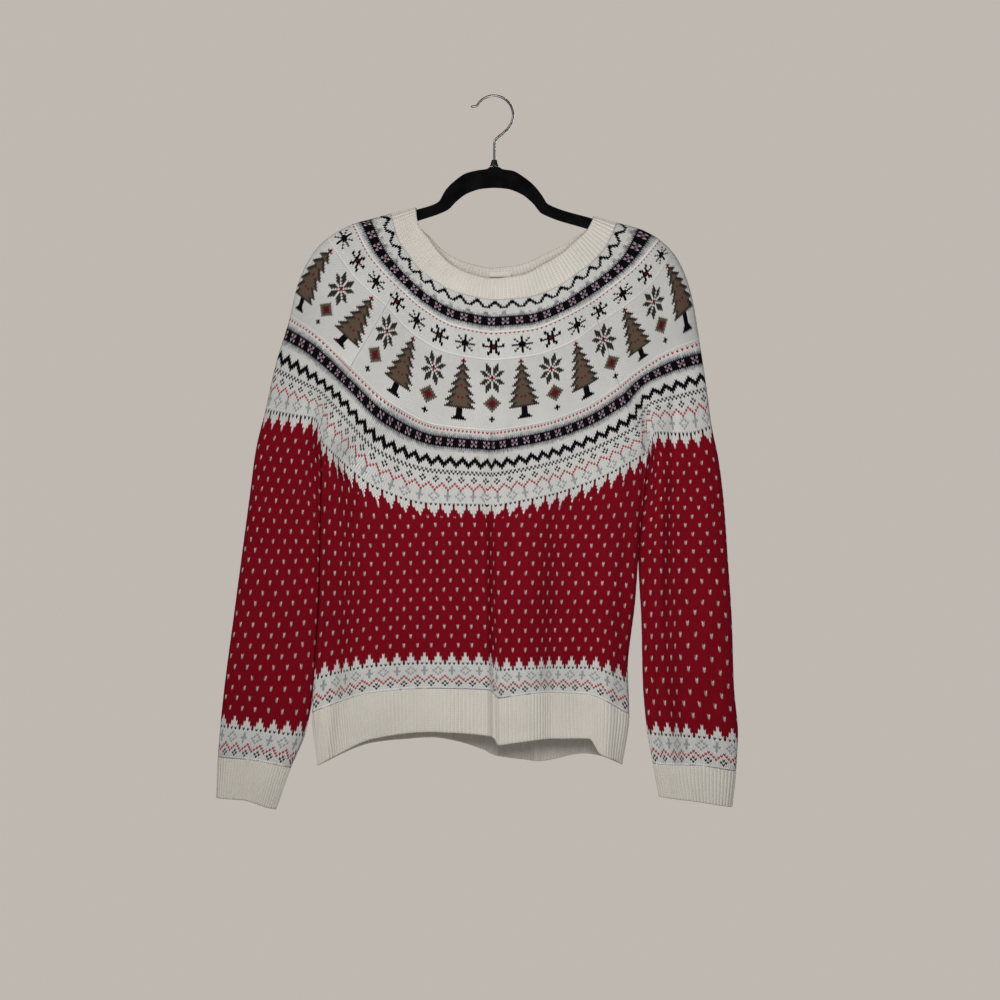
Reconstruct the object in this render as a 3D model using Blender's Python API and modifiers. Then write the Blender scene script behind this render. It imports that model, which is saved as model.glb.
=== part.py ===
"""Knitted Christmas sweater with a round patterned yoke, hung on a slim flocked hanger.

The cloth is a hollow garment: a front, a back and two raglan sleeves, each a wall of even
thickness, with ribbed bands at the neck, the hem and the cuffs. The origin is the inner crest of
the hanger's hook, X runs across the sweater, Z is up and the back of the sweater faces +Y.
Tables and driving dimensions are in millimetres and the objects are in metres.
"""

import math

import bmesh
import bpy
import numpy as np
from mathutils import Matrix

MM = 0.001

# Cloth
CLOTH = 2.5  # thickness of every knitted wall
SEAM_GAP = 0.3  # clear distance between two pieces that are sewn together
RIB_RELIEF = 0.9  # how far a rib stands out of its band
RIB_STEP = 4.0  # width of one rib, and of the groove beside it

# Neck
NECK_CENTRE_X = 13.0
NECK_HALF_WIDTH = 108.0
BACK_NECK_LIFT = 15.5  # the back neckline lies this much higher than the front one
LIFT_ENDS_Z = (-250.0, -430.0)  # the lift is whole above the first level and gone below the second

# Label inside the back of the neckband
LABEL_WIDTH = 27.0
LABEL_HEIGHT = 18.0
LABEL_CENTRE = (8.0, -227.5)
LABEL_THICKNESS = 0.8

# Hanger
HANGER_THICKNESS = 5.0
HANGER_EDGE = 1.7  # rounding of the hanger's edges
HOOK_WIRE = 1.55  # radius of the hook's wire
HOOK_RADIUS = 24.0  # from the hook's centre to the middle of its wire
HOOK_ARC = (-24.0, 155.0)  # degrees, anticlockwise from +X
HOOK_NECK_X = 0.5
COLLAR_TOP_Z = -79.0
COLLAR_HEIGHT = 8.0
COLLAR_RADII = (3.6, 5.6)  # at its top and at its foot
COLLAR_WALL_GAP = 0.3

# Each row of these tables is a line across the garment as it hangs, seen from the front, and
# gives (x, z) at every station. Stations of the yoke, from the left fold to the right one:
#   0 left fold, 1 left sleeve, 2 left tuck, 3 left raglan seam, 4 left side, 5 left front,
#   6 left of the crease, 7 crease, 8 right of the crease, 9 soft pleat, 10 right front,
#   11 right raglan seam, 12 right tuck, 13 right sleeve, 14 right fold
YOKE_ROWS = {
    "neck seam": (
        (-129, -146), (-119, -180), (-102.5, -204), (-95, -214), (-75, -230.5),
        (-45, -246), (-9, -254), (-4, -254.5), (1, -255), (40, -252),
        (77.5, -239.5), (105, -221), (117.5, -212), (140, -187.5), (154, -157.5),
    ),
    "stars": (
        (-154, -153), (-137, -190.5), (-116, -217.5), (-107.5, -227), (-81.5, -249.5),
        (-48, -267.5), (-9.5, -275.5), (-4.5, -276), (1, -276), (43, -273),
        (84.5, -258.5), (113, -240), (127, -231), (159.5, -202), (180, -164.5),
    ),
    "upper dots": (
        (-176, -159), (-155, -200), (-129, -230), (-120, -239), (-87.5, -267),
        (-51, -287.5), (-10, -296), (-4.5, -296.5), (0.5, -296.5), (46, -292.5),
        (91, -275.5), (121, -259), (136, -248), (177.5, -214), (207.5, -179),
    ),
    "motifs, top third": (
        (-216, -183), (-177.5, -234), (-147.5, -261), (-137.5, -269), (-101.5, -307),
        (-58, -330), (-10, -338), (-5, -338), (0, -338.5), (51, -332),
        (99.5, -314.5), (132.5, -291), (151, -279), (192.5, -247.5), (227.5, -200),
    ),
    "motifs, low third": (
        (-244, -230), (-202.5, -267.5), (-170, -297.5), (-159, -306), (-116, -347),
        (-64.5, -373), (-10.5, -380), (-5, -380), (0, -380), (55.5, -372),
        (108, -353), (146, -329), (166, -315), (205, -284), (245, -241),
    ),
    "lower dots": (
        (-256, -279), (-224, -300), (-195, -327), (-180, -342.5), (-130, -387.5),
        (-71, -415.5), (-10.5, -421.5), (-5.5, -422), (-0.5, -422), (60, -412),
        (116, -392), (157.5, -365), (179, -347), (216, -324.5), (257.5, -310),
    ),
    "checks": (
        (-273, -335), (-241, -351), (-216, -365), (-196, -384), (-139, -440.5),
        (-76, -462.5), (-11, -467), (-5.5, -467.5), (0, -467.5), (64, -455.5),
        (122.5, -436), (175, -410), (192.5, -381), (232.5, -369), (265, -360),
    ),
    "yoke edge": (
        (-286, -391), (-252.5, -398), (-222.5, -404), (-214, -437.5), (-147.5, -491),
        (-80, -511), (-11, -513), (-5, -513.5), (0, -513.5), (69, -500.5),
        (131, -479.5), (191, -447.5), (202.5, -421), (240, -418), (272.5, -411),
    ),
}

# The free edge of the neckband, at the yoke's stations.
NECK_EDGE = (
    (-98, -138.5), (-94.5, -159), (-79.5, -180.5), (-72.5, -190.5), (-56, -208),
    (-34, -220.5), (-7, -228), (-2.5, -228), (2, -228), (34, -224),
    (64, -209), (87, -195), (97.5, -185), (115.5, -168), (125.5, -149),
)

# The body below the yoke: stations 3 to 11, where 3 and 11 are its side seams.
BODY_ROWS = {
    "underarm": (
        (-215, -456), (-149, -507.5), (-80, -525), (-11, -527.5), (-5, -528),
        (0, -528), (69, -515.5), (131, -496), (190.5, -464),
    ),
    "bust": (
        (-217, -541), (-150, -557.5), (-80, -564), (-10.5, -565), (-4.5, -565.5),
        (0.5, -566), (67.5, -562.5), (129, -557.5), (183, -541),
    ),
    "waist": (
        (-219, -629), (-151, -635), (-80, -636), (-9, -636), (-3, -637.5),
        (2.5, -639), (65, -636), (125, -636), (179.5, -629),
    ),
}
FRONT_HEM_ROWS = {
    "hip": (
        (-224, -710), (-152.5, -697.5), (-79, -694), (-7, -695), (-1, -698),
        (4.5, -701), (63, -700), (120, -699), (169.5, -714),
    ),
    "hem seam": (
        (-227.5, -769), (-152.5, -743.5), (-79, -737.5), (-6, -740), (0, -745),
        (5.5, -750), (62, -743), (116, -745), (169, -771),
    ),
    "hem": (
        (-220, -835), (-149, -800.5), (-79, -791.5), (-6, -797), (0.5, -801),
        (6, -808), (62, -801), (117.5, -800), (160, -834),
    ),
}
BACK_HEM_ROWS = {
    "hip": (
        (-224, -710), (-152.5, -701), (-79, -697.5), (-11, -702.5), (-5, -704),
        (1, -705), (64, -709), (117.5, -705), (169.5, -714),
    ),
    "hem seam": (
        (-227.5, -769), (-152.5, -754), (-79, -749), (-11, -760), (-5, -762.5),
        (1, -765.5), (64, -774.5), (117.5, -762.5), (169, -771),
    ),
    "hem": (
        (-220, -835), (-149, -809), (-79, -803), (-11, -819.5), (-5, -823),
        (2.5, -826), (59, -832.5), (114, -823), (160, -834),
    ),
}

# The sleeves below the yoke: outer fold, middle, inner quarter and underarm seam.
LEFT_SLEEVE_ROWS = {
    "armhole": ((-297.5, -441), (-260, -447.5), (-229, -451), (-219, -452.5)),
    "upper arm": ((-306, -504), (-265, -510), (-230, -514), (-220, -515)),
    "elbow": ((-316, -579), (-269, -585), (-231, -590), (-220.5, -591)),
    "forearm": ((-326, -654), (-275, -661), (-235, -666), (-223, -667.5)),
    "lower arm": ((-336, -729), (-285, -736), (-240, -742.5), (-228, -744)),
    "wrist": ((-342, -785), (-292.5, -791), (-249, -797.5), (-236, -800)),
    "cuff seam": ((-345, -825), (-305, -827.5), (-266, -835.5), (-254, -839)),
    "cuff": ((-347, -876), (-314, -877.5), (-282.5, -888), (-272.5, -891)),
}
RIGHT_SLEEVE_ROWS = {
    "armhole": ((280, -451), (242.5, -457.5), (206, -460), (195, -460)),
    "upper arm": ((287, -504), (241, -507.5), (200, -510), (187, -510)),
    "elbow": ((292.5, -579), (242.5, -581), (197.5, -582.5), (184.5, -582.5)),
    "forearm": ((297.5, -654), (244, -655), (196, -654.5), (183, -654)),
    "lower arm": ((300, -729), (246, -729), (199, -727.5), (185.5, -727.5)),
    "wrist": ((305, -785), (252.5, -787.5), (204.5, -787), (192, -786)),
    "cuff seam": ((302.5, -842.5), (251, -834.5), (211, -834), (200, -834)),
    "cuff": ((297.5, -887.5), (254, -880), (219, -876), (207.5, -875)),
}
ARMPITS = ((-216.0, -444.0), (193.5, -455.0))

# How far the cloth stands off the middle plane: level z, half depth of a sleeve, half depth of
# the body, and the width over which the cloth rounds off towards an outline edge.
DEPTHS = (
    (-130, 8, 8, 14),
    (-160, 8.5, 9, 16),
    (-220, 10, 13, 24),
    (-300, 11, 14, 30),
    (-440, 11, 15, 30),
    (-600, 11, 18, 30),
    (-740, 11, 22, 30),
    (-900, 12, 25, 30),
)
BODY_SWELLS_OVER = 50.0  # the body reaches its own depth this far in from the armpits

# Folds: top x and z, low x and z, depth (below 0 is a ridge), half width, and the length over
# which the fold fades at its top and at its low end (0 runs on at full depth).
FRONT_FOLDS = {
    "sharp crease": (-5, -450, 0.5, -850, 6.0, 4.5, 90, 0),
    "soft pleat": (69, -480, 61.5, -850, 4.0, 10, 90, 0),
    "swell between them": (32, -500, 33, -850, -2.0, 15, 120, 0),
    "left side trough": (-184, -470, -182, -700, 2.5, 11, 70, 80),
    "left swell": (-80, -540, -78, -850, -1.5, 28, 120, 0),
    "right swell": (121, -520, 118, -850, -2.0, 18, 120, 0),
    "left armpit tuck": (-215, -345, -216, -450, 7.0, 5.5, 80, 0),
    "right armpit tuck": (188, -350, 193, -460, 8.0, 6.5, 80, 0),
    "left sleeve trough": (-245, -430, -264, -720, 2.0, 11, 80, 90),
    "right sleeve trough": (222, -355, 221, -700, 3.0, 9, 80, 90),
}
BACK_FOLDS = {
    "left pleat": (-122, -450, -108, -850, 4.0, 13, 120, 0),
    "left of centre swell": (-48, -590, -38, -850, -2.5, 16, 120, 0),
    "centre crease": (36, -420, 54, -850, 5.0, 8, 110, 0),
    "right trough": (128, -510, 120, -850, 3.0, 11, 90, 0),
    "left armpit tuck": (-215, -360, -216, -450, 6.0, 6.5, 70, 0),
    "right armpit tuck": (188, -365, 193, -460, 6.0, 6.5, 70, 0),
    "left sleeve trough": (-262, -500, -290, -790, 2.5, 10, 80, 90),
    "right sleeve trough": (247, -470, 240, -730, 2.5, 11, 80, 90),
}

# Places of the mesh columns, in stations, and of the mesh rows, in table rows. Columns crowd
# towards the side seams and the folds, where the cloth turns.
PANEL_COLUMNS = (
    3, 3.03, 3.1, 3.2, 3.4, 3.7, 4, 4.5, 5, 5.5, 6, 7, 8, 8.35, 8.7, 9, 9.5, 10,
    10.5, 10.75, 10.89, 10.97, 11,
)
SLEEVE_COLUMNS = (3, 2.87, 2.5, 2, 1.7, 1.35, 1, 0.67, 0.36, 0.13, 0.03, 0)
YOKE_MESH_ROWS = (0, 1, 2, 2.5, 3, 3.5, 4, 5, 6, 7)
PANEL_MESH_ROWS = YOKE_MESH_ROWS + (8, 9, 10, 11, 12)
SLEEVE_MESH_ROWS = YOKE_MESH_ROWS + (8, 9, 10, 11, 12, 13, 14)

# The hanger's outline: x, height of its top edge and of its foot edge.
HANGER_TOP = (
    (-196, -172.8), (-99, -141.9), (-70, -131.8), (-60, -115.8), (-49, -105), (-35, -95.6),
    (-18, -91.5), (-9, -90.3), (-5, -87.6), (6, -87.6), (10, -90.3), (23.4, -92.5),
    (38, -100.8), (50.3, -111.1), (60.6, -124), (66.9, -133.8), (125, -152.9), (193, -175.4),
)
HANGER_TIP_RIGHT = ((198.5, -179.8), (199, -186), (195, -191))
HANGER_FOOT = (
    (189, -190), (119.8, -166.4), (59.6, -146), (48.3, -133), (33.8, -121.5), (15, -114.9),
    (0.5, -113.9), (-14, -114.9), (-32.6, -120.5), (-47.1, -130.9), (-57.5, -141.3),
    (-95, -155.2), (-192, -187),
)
HANGER_TIP_LEFT = ((-198, -188), (-202, -183), (-201.5, -177))

# The hook's stem below its arc, and the tip beyond the arc: x, z.
HOOK_STEM = ((HOOK_NECK_X, -86.5), (HOOK_NECK_X, -55.5), (4.2, -51), (10, -46.5), (17, -40.5))
HOOK_TIP = ((-25.5, -12.1), (-29, -12.3))


def curve_through(points, places):
    """Follows a smooth curve through points, which never swings past them, at places in steps."""
    points = np.asarray(points, float)
    places = np.asarray(places, float)
    steps = np.diff(points, axis=0)
    same_way = steps[1:] * steps[:-1]
    total = np.where(same_way > 0, steps[1:] + steps[:-1], 1.0)
    slopes = np.empty_like(points)
    slopes[1:-1] = np.where(same_way > 0, 2 * same_way / total, 0.0)
    slopes[0] = steps[0]
    slopes[-1] = steps[-1]
    first = np.clip(places.astype(int), 0, len(points) - 2)
    t = (places - first).reshape((-1,) + (1,) * (points.ndim - 1))
    low, high = points[first], points[first + 1]
    low_slope, high_slope = slopes[first], slopes[first + 1]
    return (
        low * (1 + 2 * t) * (1 - t) ** 2
        + high * t * t * (3 - 2 * t)
        + low_slope * t * (1 - t) ** 2
        - high_slope * t * t * (1 - t)
    )


def smooth_step(t):
    t = np.clip(t, 0.0, 1.0)
    return t * t * (3 - 2 * t)


def stack(*tables):
    """Joins tables of rows into one array, indexed by row, station and axis."""
    return np.array([row for table in tables for row in table.values()], float)


def yoke_part(first, last):
    """The yoke's rows between two stations, running away from the first one."""
    step = 1 if last > first else -1
    stations = list(range(first, last + step, step))
    return {name: [row[station] for station in stations] for name, row in YOKE_ROWS.items()}


FRONT = stack(yoke_part(3, 11), BODY_ROWS, FRONT_HEM_ROWS)
BACK = stack(yoke_part(3, 11), BODY_ROWS, BACK_HEM_ROWS)
LEFT_SLEEVE = stack(yoke_part(0, 3), LEFT_SLEEVE_ROWS)
RIGHT_SLEEVE = stack(yoke_part(14, 11), RIGHT_SLEEVE_ROWS)
YOKE_COUNT = len(YOKE_ROWS)


def outline_edges():
    """The lines, seen from the front, along which front and back cloth meet."""
    lines = []
    for sleeve, end, armpit in ((LEFT_SLEEVE, 0, ARMPITS[0]), (RIGHT_SLEEVE, 14, ARMPITS[1])):
        lines.append(np.vstack([[NECK_EDGE[end]], sleeve[:, 0]]))
        lines.append(np.vstack([[armpit], sleeve[YOKE_COUNT:, 3]]))
    lines.append(np.vstack([[ARMPITS[0]], FRONT[YOKE_COUNT:, 0]]))
    lines.append(np.vstack([[ARMPITS[1]], FRONT[YOKE_COUNT:, -1]]))
    starts, ends = [], []
    for line in lines:
        fine = curve_through(line, np.linspace(0, len(line) - 1, 8 * (len(line) - 1) + 1))
        starts.append(fine[:-1])
        ends.append(fine[1:])
    return np.vstack(starts), np.vstack(ends)


EDGE_STARTS, EDGE_ENDS = outline_edges()


def nearest_edge(flat, inward):
    """Distance from each front-view point to the nearest edge, and the way leading off it."""
    along = EDGE_ENDS - EDGE_STARTS
    offset = flat[..., None, :] - EDGE_STARTS
    share = np.clip((offset * along).sum(-1) / (along**2).sum(-1), 0, 1)
    away = offset - share[..., None] * along
    distances = np.sqrt((away**2).sum(-1))
    best = distances.argmin(-1)[..., None]
    distance = np.take_along_axis(distances, best, -1)[..., 0]
    way = np.take_along_axis(away, best[..., None], -2)[..., 0, :]
    on_edge = (distance < 0.05)[..., None]
    way = np.where(on_edge, inward, way)
    way = way / np.linalg.norm(way, axis=-1, keepdims=True)
    return np.where(on_edge[..., 0], 0.0, distance), way


def fold_relief(x, z, folds):
    """How far the folds of one side sink the cloth at front-view points."""
    sunk = np.zeros_like(x)
    for top_x, top_z, low_x, low_z, depth, half_width, fade_top, fade_low in folds.values():
        along = np.clip((top_z - z) / (top_z - low_z), 0, 1)
        beside = x - (top_x + (low_x - top_x) * along)
        strength = smooth_step((top_z - z) / fade_top)
        if fade_low:
            strength = strength * smooth_step((z - low_z) / fade_low)
        sunk += depth * strength * np.exp(-((beside / half_width) ** 2))
    return sunk


def stand_off(flat, side, inward):
    """Places front-view points on the garment's outer face: points and outward directions.

    flat is an array of (x, z), side is -1 on the front, 1 on the back and 0 on a fold, and
    inward is the way into the cloth for a point that lies on an edge. The cloth rounds off
    towards an edge as a quarter ellipse, and runs level beyond it.
    """
    x, z = flat[..., 0], flat[..., 1]
    levels = np.array(DEPTHS, float)
    sleeve, body, reach = (np.interp(-z, -levels[:, 0], levels[:, k]) for k in (1, 2, 3))
    inside = smooth_step((x - ARMPITS[0][0]) / BODY_SWELLS_OVER)
    inside = inside * smooth_step((ARMPITS[1][0] - x) / BODY_SWELLS_OVER)
    half_depth = sleeve + (body - sleeve) * inside
    distance, way = nearest_edge(flat, inward)
    turn = np.clip(1 - distance / reach, 0, 1)
    rise = np.sqrt(1 - turn**2)
    depth = half_depth * rise
    sunk = np.where(side > 0, fold_relief(x, z, BACK_FOLDS), fold_relief(x, z, FRONT_FOLDS))
    depth = np.maximum(depth - sunk * rise, np.minimum(depth, CLOTH + 1.2))
    points = np.stack([x, side * (depth + SEAM_GAP / 2), z], -1)
    outward = np.stack(
        [-way[..., 0] * turn / reach, side * rise / half_depth, -way[..., 1] * turn / reach], -1
    )
    return points, outward / np.linalg.norm(outward, axis=-1, keepdims=True)


def lift_back(flat):
    """Raises the back's front-view points round the neck."""
    beside = np.abs(flat[..., 0] - NECK_CENTRE_X) / NECK_HALF_WIDTH
    across = np.clip(1 - beside**3, 0, 1)
    down = smooth_step((flat[..., 1] - LIFT_ENDS_Z[1]) / (LIFT_ENDS_Z[0] - LIFT_ENDS_Z[1]))
    lifted = flat.copy()
    lifted[..., 1] += BACK_NECK_LIFT * across * down
    return lifted


def into_cloth(flat):
    """For each point of a row, the way towards the row's middle."""
    middle = flat[..., [flat.shape[-2] // 2], :]
    way = middle - flat
    way[..., flat.shape[-2] // 2, :] = (0.0, 1.0)
    return way


def panel_points(table, side):
    """Outer and inner points of the front or the back, pulled back a little from its seams."""
    places = np.array(PANEL_COLUMNS) - 3
    flat = curve_through(table, PANEL_MESH_ROWS)
    flat = curve_through(flat.swapaxes(0, 1), places).swapaxes(0, 1)
    seam_rows = np.array(PANEL_MESH_ROWS) < YOKE_COUNT
    flat[seam_rows, 0, 0] += 0.75 * SEAM_GAP
    flat[seam_rows, -1, 0] -= 0.75 * SEAM_GAP
    if side > 0:
        flat = lift_back(flat)
    points, outward = stand_off(flat, np.full(flat.shape[:-1], side), into_cloth(flat))
    return points, points - outward * CLOTH


def sleeve_points(table, inner_side):
    """Outer and inner points of a sleeve, from its front seam round the fold to its back seam."""
    flat = curve_through(table, SLEEVE_MESH_ROWS)
    half = curve_through(flat.swapaxes(0, 1), SLEEVE_COLUMNS).swapaxes(0, 1)
    seam_rows = np.array(SLEEVE_MESH_ROWS) < YOKE_COUNT
    half[seam_rows, 0, 0] -= 0.75 * SEAM_GAP * inner_side
    way = into_cloth(half)
    count = len(SLEEVE_COLUMNS)
    flat = np.concatenate([half, lift_back(half)[:, -2::-1]], 1)
    way = np.concatenate([way, way[:, -2::-1]], 1)
    side = np.concatenate([-np.ones(count - 1), [0], np.ones(count - 1)])
    points, outward = stand_off(flat, np.broadcast_to(side, flat.shape[:-1]), way)
    return points, points - outward * CLOTH


def refine(edge, closed=False):
    """Places, in columns of an edge, that cut each of its chords into ribs and grooves."""
    lengths = np.linalg.norm(np.diff(edge, axis=0), axis=1)
    cuts = np.maximum(1, np.round(lengths / RIB_STEP)).astype(int)
    if closed and cuts.sum() % 2:
        cuts[lengths.argmax()] += 1
    places = [column + k / cut for column, cut in enumerate(cuts) for k in range(cut)]
    return np.array(places if closed else places + [len(cuts)])


def between(values, places):
    """Values at fractional column places, straight between the columns."""
    first = np.clip(places.astype(int), 0, len(values) - 2)
    t = (places - first).reshape((-1,) + (1,) * (values.ndim - 1))
    return values[first] * (1 - t) + values[first + 1] * t


def rib_rows(seam_outer, seam_inner, free_outer, free_inner):
    """Rows of a ribbed band: just off its seam, and at its free edge, with the ribs raised."""
    leave = free_outer - seam_outer
    shift = SEAM_GAP * leave / np.linalg.norm(leave, axis=1, keepdims=True)
    outer = np.stack([seam_outer + shift, free_outer])
    inner = np.stack([seam_inner + shift, free_inner])
    out = (outer - inner) / np.linalg.norm(outer - inner, axis=2, keepdims=True)
    raised = np.where(np.arange(outer.shape[1]) % 2, RIB_RELIEF, 0.0)
    return outer + out * raised[None, :, None], inner


def hem_points(panel, table, side):
    """Outer and inner points of the hem's ribbed band, on the front or on the back."""
    seam_outer, seam_inner = panel[0][-1], panel[1][-1]
    places = refine(seam_outer)
    stations = between(np.array(PANEL_COLUMNS), places) - 3
    flat = curve_through(table[-1], stations)
    free, outward = stand_off(flat, np.full(len(flat), side), into_cloth(flat))
    return rib_rows(
        between(seam_outer, places), between(seam_inner, places), free, free - outward * CLOTH
    )


def ring_points(seam_outer, seam_inner, stations, sides, edge_line, lifted):
    """Outer and inner points of a closed ribbed band, given its seam's columns in order."""
    places = refine(np.vstack([seam_outer, seam_outer[:1]]), closed=True)
    wrap = np.vstack([seam_outer, seam_outer[:1]]), np.vstack([seam_inner, seam_inner[:1]])
    stations = between(np.append(stations, stations[0]), places)
    whole = places == places.astype(int)
    here = places.astype(int)
    after = (here + 1) % len(sides)
    side = np.where(whole, sides[here], np.sign(sides[here] + sides[after]))
    flat = curve_through(edge_line, stations)
    middle = curve_through(edge_line, [(len(edge_line) - 1) / 2])
    way = middle - flat
    if lifted:
        flat = np.where((side > 0)[:, None], lift_back(flat), flat)
    free, outward = stand_off(flat, side, way)
    return rib_rows(
        between(wrap[0], places), between(wrap[1], places), free, free - outward * CLOTH
    )


def cuff_points(sleeve, table):
    """Outer and inner points of a cuff, whose ring closes at the underarm seam."""
    outer, inner = sleeve[0][-1].copy(), sleeve[1][-1].copy()
    for row in (outer, inner):
        row[0] = (row[0] + row[-1]) / 2
    stations = np.array(SLEEVE_COLUMNS + SLEEVE_COLUMNS[-2:0:-1])
    count = len(SLEEVE_COLUMNS)
    sides = np.concatenate([[0], -np.ones(count - 2), [0], np.ones(count - 2)])
    return ring_points(outer[:-1], inner[:-1], stations, sides, table[-1], lifted=False)


def neckband_points(front, back, left, right):
    """Outer and inner points of the neckband, from the left fold round the front and back."""
    count = len(SLEEVE_COLUMNS)
    sleeve = np.array(SLEEVE_COLUMNS)
    panel = np.array(PANEL_COLUMNS)

    def seam(layer):
        edges = [part[layer][0] for part in (front, back, left, right)]
        front_edge, back_edge, left_edge, right_edge = edges
        parts = [
            left_edge[count - 1 :: -1],
            front_edge,
            right_edge,
            back_edge[::-1],
            left_edge[: count - 1 : -1],
        ]
        row = parts[0]
        for part in parts[1:]:
            row = np.vstack([row[:-1], (row[-1:] + part[:1]) / 2, part[1:]])
        return row

    stations = np.concatenate(
        [sleeve[::-1], panel[1:], 14 - sleeve[1:], 14 - sleeve[-2::-1], panel[-2::-1], sleeve[1:-1]]
    )
    between_folds = 2 * len(sleeve) + len(panel) - 4
    sides = np.concatenate([[0], -np.ones(between_folds), [0], np.ones(between_folds)])
    return ring_points(seam(0), seam(1), stations, sides, np.array(NECK_EDGE, float), lifted=True)


def label_points():
    """Outer and inner points of the label, which lies just off the back neckband's inside."""
    x = LABEL_CENTRE[0] + LABEL_WIDTH * np.linspace(-0.5, 0.5, 4)
    z = LABEL_CENTRE[1] + LABEL_HEIGHT * np.linspace(0.5, -0.5, 3)
    flat = np.stack(np.meshgrid(x, z), -1)
    points, outward = stand_off(flat, np.ones(flat.shape[:-1]), into_cloth(flat))
    clear = CLOTH + 1.5 * SEAM_GAP
    return points - outward * (clear + LABEL_THICKNESS), points - outward * clear


def material(name, colour, roughness, metallic=0.0):
    made = bpy.data.materials.new(name)
    made.use_nodes = True
    shader = made.node_tree.nodes["Principled BSDF"]
    shader.inputs["Base Color"].default_value = (*colour, 1.0)
    shader.inputs["Roughness"].default_value = roughness
    shader.inputs["Metallic"].default_value = metallic
    made.diffuse_color = (*colour, 1.0)
    return made


def add_object(name, mesh, look):
    """Puts a mesh in the model's collection under its empty, with its material."""
    mesh.materials.clear()
    mesh.materials.append(look)
    made = bpy.data.objects.new(name, mesh)
    PARTS.objects.link(made)
    made.parent = ROOT
    return made


def wall_object(name, rows, look, closed=False):
    """A cloth wall from its outer and inner points; closed joins its last column to its first."""
    outer, inner = rows
    count_rows, count_columns = outer.shape[:2]
    columns = np.arange(count_columns if closed else count_columns - 1)
    after = (columns + 1) % count_columns
    index = np.arange(count_rows * count_columns).reshape(count_rows, count_columns)
    back = index + index.size
    faces = []

    def quads(a, b, c, d):
        faces.extend(np.stack([a, b, c, d], -1).reshape(-1, 4).tolist())

    quads(index[:-1, columns], index[1:, columns], index[1:, after], index[:-1, after])
    quads(back[:-1, columns], back[:-1, after], back[1:, after], back[1:, columns])
    quads(index[0, columns], index[0, after], back[0, after], back[0, columns])
    quads(index[-1, columns], back[-1, columns], back[-1, after], index[-1, after])
    if not closed:
        quads(index[:-1, 0], back[:-1, 0], back[1:, 0], index[1:, 0])
        quads(index[:-1, -1], index[1:, -1], back[1:, -1], back[:-1, -1])
    points = np.concatenate([outer.reshape(-1, 3), inner.reshape(-1, 3)]) * MM
    mesh = bpy.data.meshes.new(name)
    mesh.from_pydata(points.tolist(), [], faces)
    build = bmesh.new()
    build.from_mesh(mesh)
    bmesh.ops.recalc_face_normals(build, faces=build.faces)
    build.to_mesh(mesh)
    build.free()
    mesh.shade_smooth()
    return add_object(name, mesh, look)


def mesh_of_curve(made, name):
    """Turns a curve object into a mesh with its caps welded on, and removes the curve."""
    evaluated = made.evaluated_get(bpy.context.evaluated_depsgraph_get())
    mesh = bpy.data.meshes.new_from_object(evaluated)
    mesh.name = name
    build = bmesh.new()
    build.from_mesh(mesh)
    bmesh.ops.remove_doubles(build, verts=build.verts, dist=0.00001)
    bmesh.ops.recalc_face_normals(build, faces=build.faces)
    build.to_mesh(mesh)
    build.free()
    bpy.data.objects.remove(made, do_unlink=True)
    mesh.shade_smooth()
    return mesh


def curve_object(name, points, flat):
    """A curve through points given as (x, z): a closed flat outline, or an open round wire."""
    curve = bpy.data.curves.new(name, "CURVE")
    curve.dimensions = "3D"
    spline = curve.splines.new("POLY")
    spline.points.add(len(points) - 1)
    if flat:
        curve.dimensions = "2D"
        curve.fill_mode = "BOTH"
        spline.use_cyclic_u = True
        for point, (x, z) in zip(spline.points, points):
            point.co = (x * MM, z * MM, 0, 1)
    else:
        for point, (x, z) in zip(spline.points, points):
            point.co = (x * MM, 0, z * MM, 1)
    made = bpy.data.objects.new(name, curve)
    PARTS.objects.link(made)
    return made


def add_hanger_body(look):
    """The flat arched hanger with its two sloping arms, rounded along its edges."""
    outline = HANGER_TOP + HANGER_TIP_RIGHT + HANGER_FOOT + HANGER_TIP_LEFT
    made = curve_object("hanger_outline", outline, flat=True)
    made.data.extrude = (HANGER_THICKNESS / 2 - HANGER_EDGE) * MM
    made.data.bevel_depth = HANGER_EDGE * MM
    made.data.offset = -HANGER_EDGE * MM
    made.data.bevel_resolution = 1
    mesh = mesh_of_curve(made, "hanger_body")
    hanger = add_object("hanger_body", mesh, look)
    mesh.transform(Matrix.Rotation(math.radians(90), 4, "X"))
    mesh.set_sharp_from_angle(angle=math.radians(50))
    return hanger


def add_hook(look):
    """The steel wire hook: a straight stem, a bend, most of a circle and a short tip."""
    angles = np.radians(np.linspace(*HOOK_ARC, 22))
    centre_z = HOOK_WIRE - HOOK_RADIUS
    arc = np.stack([HOOK_RADIUS * np.cos(angles), centre_z + HOOK_RADIUS * np.sin(angles)], -1)
    points = list(HOOK_STEM) + arc.tolist() + list(HOOK_TIP)
    made = curve_object("hook_path", points, flat=False)
    made.data.bevel_depth = HOOK_WIRE * MM
    made.data.bevel_resolution = 3
    made.data.use_fill_caps = True
    return add_object("hanger_hook", mesh_of_curve(made, "hanger_hook"), look)


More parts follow.
